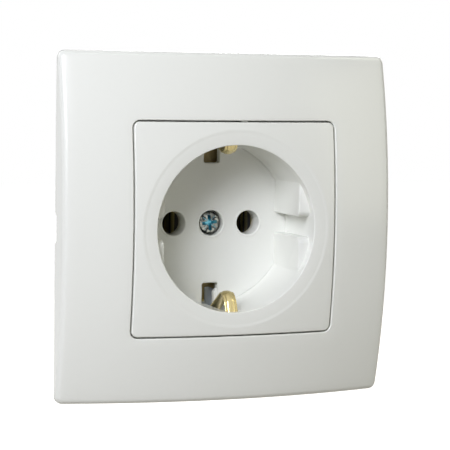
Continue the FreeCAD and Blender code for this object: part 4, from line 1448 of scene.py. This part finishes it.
@dataclass
class EarthStrap:
    """Brass strap with a crowned clip at each end and a tail for its clamp. Sizes in millimetres."""

    sheet: float = 0.8
    half_width: float = 2.8
    end: float = 19.0
    front: float = 11.6
    back: float = 12.4
    leg: float = 22.7
    leg_turn: float = 8.0
    clip_half: float = 1.55
    bead_half: float = 1.05
    bead: float = 0.36
    arch: float = 0.6
    edge: float = 0.16
    nose_bend: float = 1.8
    upper: tuple[float, float, float, float] = (17.2, 3.7, 20.2, 6.5)
    lower: tuple[float, float, float, float] = (14.9, 4.7, 20.2, 8.1)
    collar: float = 2.6
    collar_back: float = 14.4
    thread: float = 1.8
    tab: tuple[float, float, float, float] = (0.0, 8.8, 14.0, 18.6)
    tail_place: float = 5.6
    tail_half: float = 3.2
    tail_top: float = 19.8
    tail_back: float = 26.9
    tail_bend: float = 1.2
    tail_edge: float = 0.1
    lap: float = 0.01
    end_lap: float = 0.15
    web_edge: float = 0.12
    tab_edge: float = 0.1
    collar_lap: float = 0.1
    collar_bevel: float = 0.2
    gap_half: float = 2.4
    gap_end: float = 22.7
    gap_span: tuple[float, float] = (10.0, 13.5)
    # How far the dull brass with painted shade reaches: in front of the web, and past its ends.
    film_and_shade_front: float = 0.4
    film_and_shade_end: float = 0.3

    def crowned(self) -> list[tuple[float, float]]:
        """Section of a clip: flat behind, with a pressed bead along its front and rounded edges.

        Returns:
            Its outline, thickness and width.
        """
        half, thick, edge = self.clip_half, self.sheet / 2 - self.lap, self.edge
        low = thick - self.bead
        corners = [(-thick, -half, edge), (-thick, half, edge), (low, half, edge)]
        for i in range(11):
            angle = math.pi * i / 10
            corners.append((low + self.bead * math.sin(angle), self.bead_half * math.cos(angle), 0.0))
        corners.append((low, -half, edge))
        return [(-x, z) for x, z in rounded(corners, 4)]

    def clip(self, roller: StripRoller, name: str, nose: tuple[float, float, float, float],
             side: int) -> bpy.types.Mesh:
        """One clip, from inside the strap's end to its free tip.

        Args:
            roller: The strip tree.
            name: Name of the mesh.
            nose: Height and reach of the nose, and of the free end.
            side: 1 for the top, -1 for the bottom.

        Returns:
            The closed mesh.
        """
        middle = -(self.front + self.sheet / 2)
        first, last = Vector(nose[:2]), Vector(nose[2:])
        way = (last - first).normalized()
        arch = (first + last) / 2 + Vector((-way.y, way.x)) * self.arch
        corners = [(self.end - CLEAR, middle), (self.leg, middle), (self.leg, -self.leg_turn),
                   nose[:2], tuple(arch), nose[2:]]
        mesh = roller.make(name, corners, self.nose_bend, self.crowned())
        if side < 0:
            flipped(mesh)
        return mesh

    @staticmethod
    def turned(sweep: RingSweep, name: str, profile: Sequence[tuple[float, float]]) -> bpy.types.Mesh:
        """Round piece about the socket's middle.

        Args:
            sweep: The ring tree.
            name: Name of the mesh.
            profile: Radius and height of each station, in order.

        Returns:
            The closed mesh.
        """
        return sweep.make(name, [Ring(radius, 0, height, 0, 1) for radius, height in profile], (10, 2))

    def build(self, roller: StripRoller, sweep: RingSweep, material: bpy.types.Material,
              film_and_shade: bpy.types.Material) -> bpy.types.Object:
        """Makes the strap in place of its CAD node.

        Args:
            roller: The strip tree.
            sweep: The ring tree.
            material: Its brass where plugs wipe it.
            film_and_shade: Its brass behind the floor, dull from its film and darker with painted shade.

        Returns:
            The piece.
        """
        half, end, lap = self.half_width, self.end + self.end_lap, self.lap
        web = prism("strap_web", oblong(-half, half, -end, end), (self.front, self.back), self.web_edge, 3)
        upper = self.clip(roller, "upper_clip", self.upper, 1)
        lower = self.clip(roller, "lower_clip", self.lower, -1)
        tab = prism("strap_tab", oblong(*self.tab), (self.front + lap, self.back - lap), self.tab_edge, 2)
        thick, wide, edge = self.sheet / 2 - lap, self.tail_half, self.tail_edge
        flat = rounded([(-thick, -wide, edge), (-thick, wide, edge), (thick, wide, edge),
                        (thick, -wide, edge)], 3)
        middle = -(self.front + self.sheet / 2)
        tail = roller.make("strap_tail", [(self.tab[2] + 2 * lap, middle), (self.tail_top, middle),
                                          (self.tail_top, -self.tail_back)], self.tail_bend, flat,
                           self.tail_place)
        near, far, bevel = self.front + self.collar_lap, self.collar_back, self.collar_bevel
        collar = self.turned(sweep, "strap_collar", ((0, near), (self.collar, near), (
            self.collar, far - bevel), (self.collar - bevel, far), (0, far)))
        near, far = self.front - CLEAR, self.collar_back + CLEAR
        way = self.turned(sweep, "strap_way", ((0, near), (self.thread, near), (self.thread, far), (0, far)))
        gap = prism("strap_gap", oblong(self.clip_half + lap, self.gap_half, self.tab[3], self.gap_end),
                    self.gap_span)
        mesh = carve(web, [upper, lower, tab, tail, collar], Solver.ADD)
        mesh = carve(mesh, [way, gap], Solver.CUT)
        piece = dress("earth_strap_clips", mesh, material, ["earth_strap"], sharp=35.0)
        # The web and tab behind the floor get the second brass: dull from its film, and darker with painted
        # shade.
        mesh.materials.append(film_and_shade)
        for face in mesh.polygons:
            if (face.center.y > (self.front - self.film_and_shade_front) * MM
                    and abs(face.center.z) < (self.end + self.film_and_shade_end) * MM):
                face.material_index = 1
        return piece


@dataclass
class BackingSpring:
    """Blanked steel leaf behind a clip, on the front of the strap. Sizes in millimetres."""

    name: str
    node: str
    side: int
    start: float
    tongue: tuple[tuple[float, float, float], ...]
    leaf_half: float = 2.3
    shoulder: float = 19.6
    sheet: float = 0.4
    front: float = 11.4
    heel: float = 23.6
    tip: tuple[tuple[float, float], ...] = ((23.6, -3.0), (21.7, -7.0))
    tip_round: float = 0.5
    shoulder_round: float = 0.2
    bend: float = 0.7
    window: tuple[float, float] = (20.4, 22.8)
    window_half: float = 1.6
    window_round: float = 0.3

    def line(self) -> BentLine:
        """Centre line from the tongue round the heel to the tip."""
        return BentLine(((self.start, self.front), (self.heel, self.front)) + self.tip, self.bend)

    def blank(self) -> bpy.types.Mesh:
        """Flat blank: width in X, length in Z, with its tongue and shoulders.

        Returns:
            Its mesh.
        """
        leaf, shoulder = self.leaf_half, self.shoulder - self.start
        length = self.line().length()
        corners = [(leaf, shoulder, self.shoulder_round), (leaf, length, self.tip_round),
                   (-leaf, length, self.tip_round), (-leaf, shoulder, self.shoulder_round)]
        corners += [(x, z - self.start, radius) for x, z, radius in self.tongue]
        half = self.sheet / 2
        return prism(self.name, rounded(corners, 5), (-half, half))

    def build(self, material: bpy.types.Material) -> bpy.types.Object:
        """Makes the leaf in place of its CAD node.

        Args:
            material: Its steel.

        Returns:
            The piece.
        """
        low, high = (edge - self.start for edge in self.window)
        half = self.window_half
        window = [(x, z, self.window_round) for x, z in oblong(-half, half, low, high)]
        hole = prism(self.name + "_window", rounded(window, 4), (-CLEAR, CLEAR))
        mesh = carve(self.blank(), [hole], Solver.CUT)
        bend_blank(mesh, self.line())
        if self.side < 0:
            flipped(mesh)
        return dress(self.name, mesh, material, [self.node], sharp=35.0)


SPRINGS: list[BackingSpring] = [
    BackingSpring("upper_backing_leaf", "upper_clip_spring", 1, 18.6,
                  ((-1.6, 19.6, 0.2), (-1.6, 18.6, 0.3), (1.6, 18.6, 0.3), (1.6, 19.6, 0.2))),
    BackingSpring("lower_backing_leaf", "lower_clip_spring", -1, 15.9,
                  ((0.3, 19.6, 0.3), (0.2, 16.1, 0.15), (1.2, 15.95, 0.8), (2.9, 16.6, 0.3), (2.7, 17.0, 0.3),
                   (2.0, 17.9, 0.9), (2.2, 19.6, 0.05))),
]


@dataclass(frozen=True)
class Lamp:
    """Square soft lamp that faces the socket: its place and side in metres, and its power in watts."""

    name: str
    place: tuple[float, float, float]
    size: float
    watts: float
    colour: str = "FFFFFF"

    def build(self) -> None:
        """Adds the lamp to the scene."""
        data = bpy.data.lights.new(self.name, "AREA")
        data.shape = "SQUARE"
        data.size = self.size
        data.energy = self.watts
        data.color = linear(self.colour)[:3]
        lamp = placed(self.name, data)
        lamp.location = self.place
        lamp.rotation_euler = (-Vector(self.place)).to_track_quat("-Z", "Y").to_euler()


LAMPS: list[Lamp] = [
    Lamp("key_lamp", (-0.515, -0.695, 0.5), 0.42, 4.15, "F6F8FF"),
    Lamp("near_lamp", (-0.385, -0.385, 0.254), 0.25, 1.9, "F6F8FF"),
    Lamp("side_lamp", (-0.819, -0.512, 0.259), 0.45, 1.2, "F9FAFF"),
    Lamp("warm_lamp", (1.11, -0.297, 0.964), 0.7, 4.0, "F7F3DD"),
    Lamp("fill_lamp", (1.18, -0.889, 0.26), 0.7, 2.5, "F7F6DC"),
    Lamp("rear_lamp", (0.9, 1.4, 0.6), 0.9, 14.0),
    Lamp("rear_fill_lamp", (-0.7, 1.2, 0.8), 0.9, 8.0),
]


@dataclass
class Studio:
    """Camera, lamps, world and floor."""

    place: tuple[float, float, float] = (-155.636, -408.752, 37.378)
    right: tuple[float, float, float] = (0.934191, -0.356379, 0.016737)
    down: tuple[float, float, float] = (-0.014683, -0.085276, -0.996249)
    lens: float = 148.14
    sensor: float = 36.0
    near_clip: float = 0.01
    world_strength: float = 0.04
    floor_height: float = -0.26
    floor_half: float = 4.0
    floor_colour: str = "A4A097"
    glow_reach: tuple[float, float] = (0.3, 0.8)
    glow_low: float = 0.6

    def camera(self) -> None:
        """Sets the camera where the photograph was taken from."""
        data = bpy.data.cameras.new("camera")
        data.sensor_width = self.sensor
        data.lens = self.lens
        data.clip_start = self.near_clip
        camera = placed("camera", data)
        across = Vector(self.right).normalized()
        up = -Vector(self.down).normalized()
        back = across.cross(up)
        turn = Matrix((across, up, back)).transposed().to_4x4()
        camera.matrix_world = Matrix.Translation(Vector(self.place) * MM) @ turn
        bpy.context.scene.camera = camera

    def world(self) -> None:
        """Sets a plain world that shows white to the camera and in gloss, and is a weak light."""
        world = bpy.data.worlds.new("studio")
        bpy.context.scene.world = world
        tree = cleared(world)
        level = add_node(tree, "ShaderNodeMapRange", inputs={
            "Value": self.seen(tree), "To Min": self.world_strength, "To Max": 1.0})
        light = add_node(tree, "ShaderNodeBackground", inputs={"Strength": level.outputs[0],
                                                               "Color": (1, 1, 1, 1)})
        add_node(tree, "ShaderNodeOutputWorld", inputs={"Surface": light.outputs[0]})

    @staticmethod
    def seen(tree: bpy.types.NodeTree) -> bpy.types.NodeSocket:
        """Adds nodes that tell the rays which show the background.

        Args:
            tree: The tree that gets them.

        Returns:
            An output that is 1 for camera, glossy and transmission rays, else 0.
        """
        path = add_node(tree, "ShaderNodeLightPath")
        gloss = add_node(tree, "ShaderNodeMath", {"operation": "MAXIMUM"}, {
            0: path.outputs["Is Camera Ray"], 1: path.outputs["Is Glossy Ray"]})
        return add_node(tree, "ShaderNodeMath", {"operation": "MAXIMUM"}, {
            0: gloss.outputs[0], 1: path.outputs["Is Transmission Ray"]}).outputs[0]

    def floor(self) -> None:
        """Lays a plain pale floor, white to the camera but for the object's shadow."""
        work = bmesh.new()
        bmesh.ops.create_grid(work, x_segments=2, y_segments=2, size=self.floor_half)
        bmesh.ops.translate(work, verts=work.verts, vec=(0, 0, self.floor_height))
        mesh = bpy.data.meshes.new("floor")
        work.to_mesh(mesh)
        work.free()
        material = bpy.data.materials.new("pale_floor")
        tree = cleared(material)
        matt = add_node(tree, "ShaderNodeBsdfDiffuse", inputs={"Color": linear(self.floor_colour)})
        spot = add_node(tree, "ShaderNodeTexCoord")
        reach = add_node(tree, "ShaderNodeVectorMath", {"operation": "LENGTH"}, {0: spot.outputs["Object"]})
        level = add_node(tree, "ShaderNodeMapRange", inputs={
            "Value": reach.outputs["Value"], "From Min": self.glow_reach[0], "From Max": self.glow_reach[1],
            "To Min": self.glow_low, "To Max": 1.0})
        glow = add_node(tree, "ShaderNodeEmission", inputs={"Strength": level.outputs[0]})
        both = add_node(tree, "ShaderNodeAddShader", inputs={0: matt.outputs[0], 1: glow.outputs[0]})
        mixed = add_node(tree, "ShaderNodeMixShader", inputs={0: self.seen(tree), 1: matt.outputs[0],
                                                             2: both.outputs[0]})
        add_node(tree, "ShaderNodeOutputMaterial", inputs={"Surface": mixed.outputs[0]})
        mesh.materials.append(material)
        floor = placed("floor", mesh)

    def build(self) -> None:
        """Makes the whole studio."""
        self.camera()
        for lamp in LAMPS:
            lamp.build()
        self.world()
        self.floor()
        bpy.context.scene.view_settings.view_transform = "Standard"


SLOT_NODES: dict[Slot, tuple[str, ...]] = {
    Slot.COVER: ("cover_frame",),
    Slot.PLATE: ("centre_plate",),
    Slot.SCREW: ("centre_screw", "rear_cover_screw_left", "rear_cover_screw_right", "live_terminal_screw",
                 "neutral_terminal_screw", "earth_terminal_screw"),
    Slot.SHEET: ("mounting_plate", "live_terminal", "neutral_terminal", "earth_terminal"),
    Slot.BASE: ("socket_base",),
    Slot.REAR: ("rear_cover",),
    Slot.BRASS: ("live_contact", "neutral_contact", "earth_strap"),
    Slot.SPRING: ("live_contact_spring", "neutral_contact_spring", "upper_clip_spring", "lower_clip_spring"),
}
NODE_SLOTS: dict[str, Slot] = {node: slot for slot, nodes in SLOT_NODES.items() for node in nodes}


def finish_nodes(materials: dict[Slot, bpy.types.Material], painted_contact: bpy.types.Material) -> None:
    """Gives each carried-over CAD node its finish.

    Args:
        materials: Finish of each slot.
        painted_contact: Finish of the pin contacts, with painted highlight lines and painted shade.
    """
    for name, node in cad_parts.items():
        # The pin contacts get brass with painted highlight lines and painted shade between them.
        material = painted_contact if name in ("live_contact", "neutral_contact") else materials[NODE_SLOTS[name]]
        for place in node.material_slots:
            place.material = material
        if not node.material_slots:
            node.data.materials.append(material)


def main() -> None:
    """Builds every piece, then the studio."""
    logging.basicConfig(level=logging.INFO, format="%(message)s")
    materials = {slot: finish.build() for slot, finish in FINISHES.items()}
    finish_nodes(materials, CONTACT_PAINTED_HIGHLIGHTS.build())
    sweep = RingSweep()
    CoverFrame().build(sweep, materials[Slot.COVER])
    CentrePlate().build(sweep, materials[Slot.PLATE])
    turner = ScrewTurner()
    recess = BLUE_RECESS.build()
    for screw in SCREWS:
        screw.build(turner, materials[Slot.SCREW], recess)
    EarthStrap().build(StripRoller(), sweep, materials[Slot.BRASS], FILM_AND_SHADE_BRASS.build())
    for spring in SPRINGS:
        spring.build(materials[Slot.SPRING])
    Studio().build()


if __name__ == "__main__":
    main()
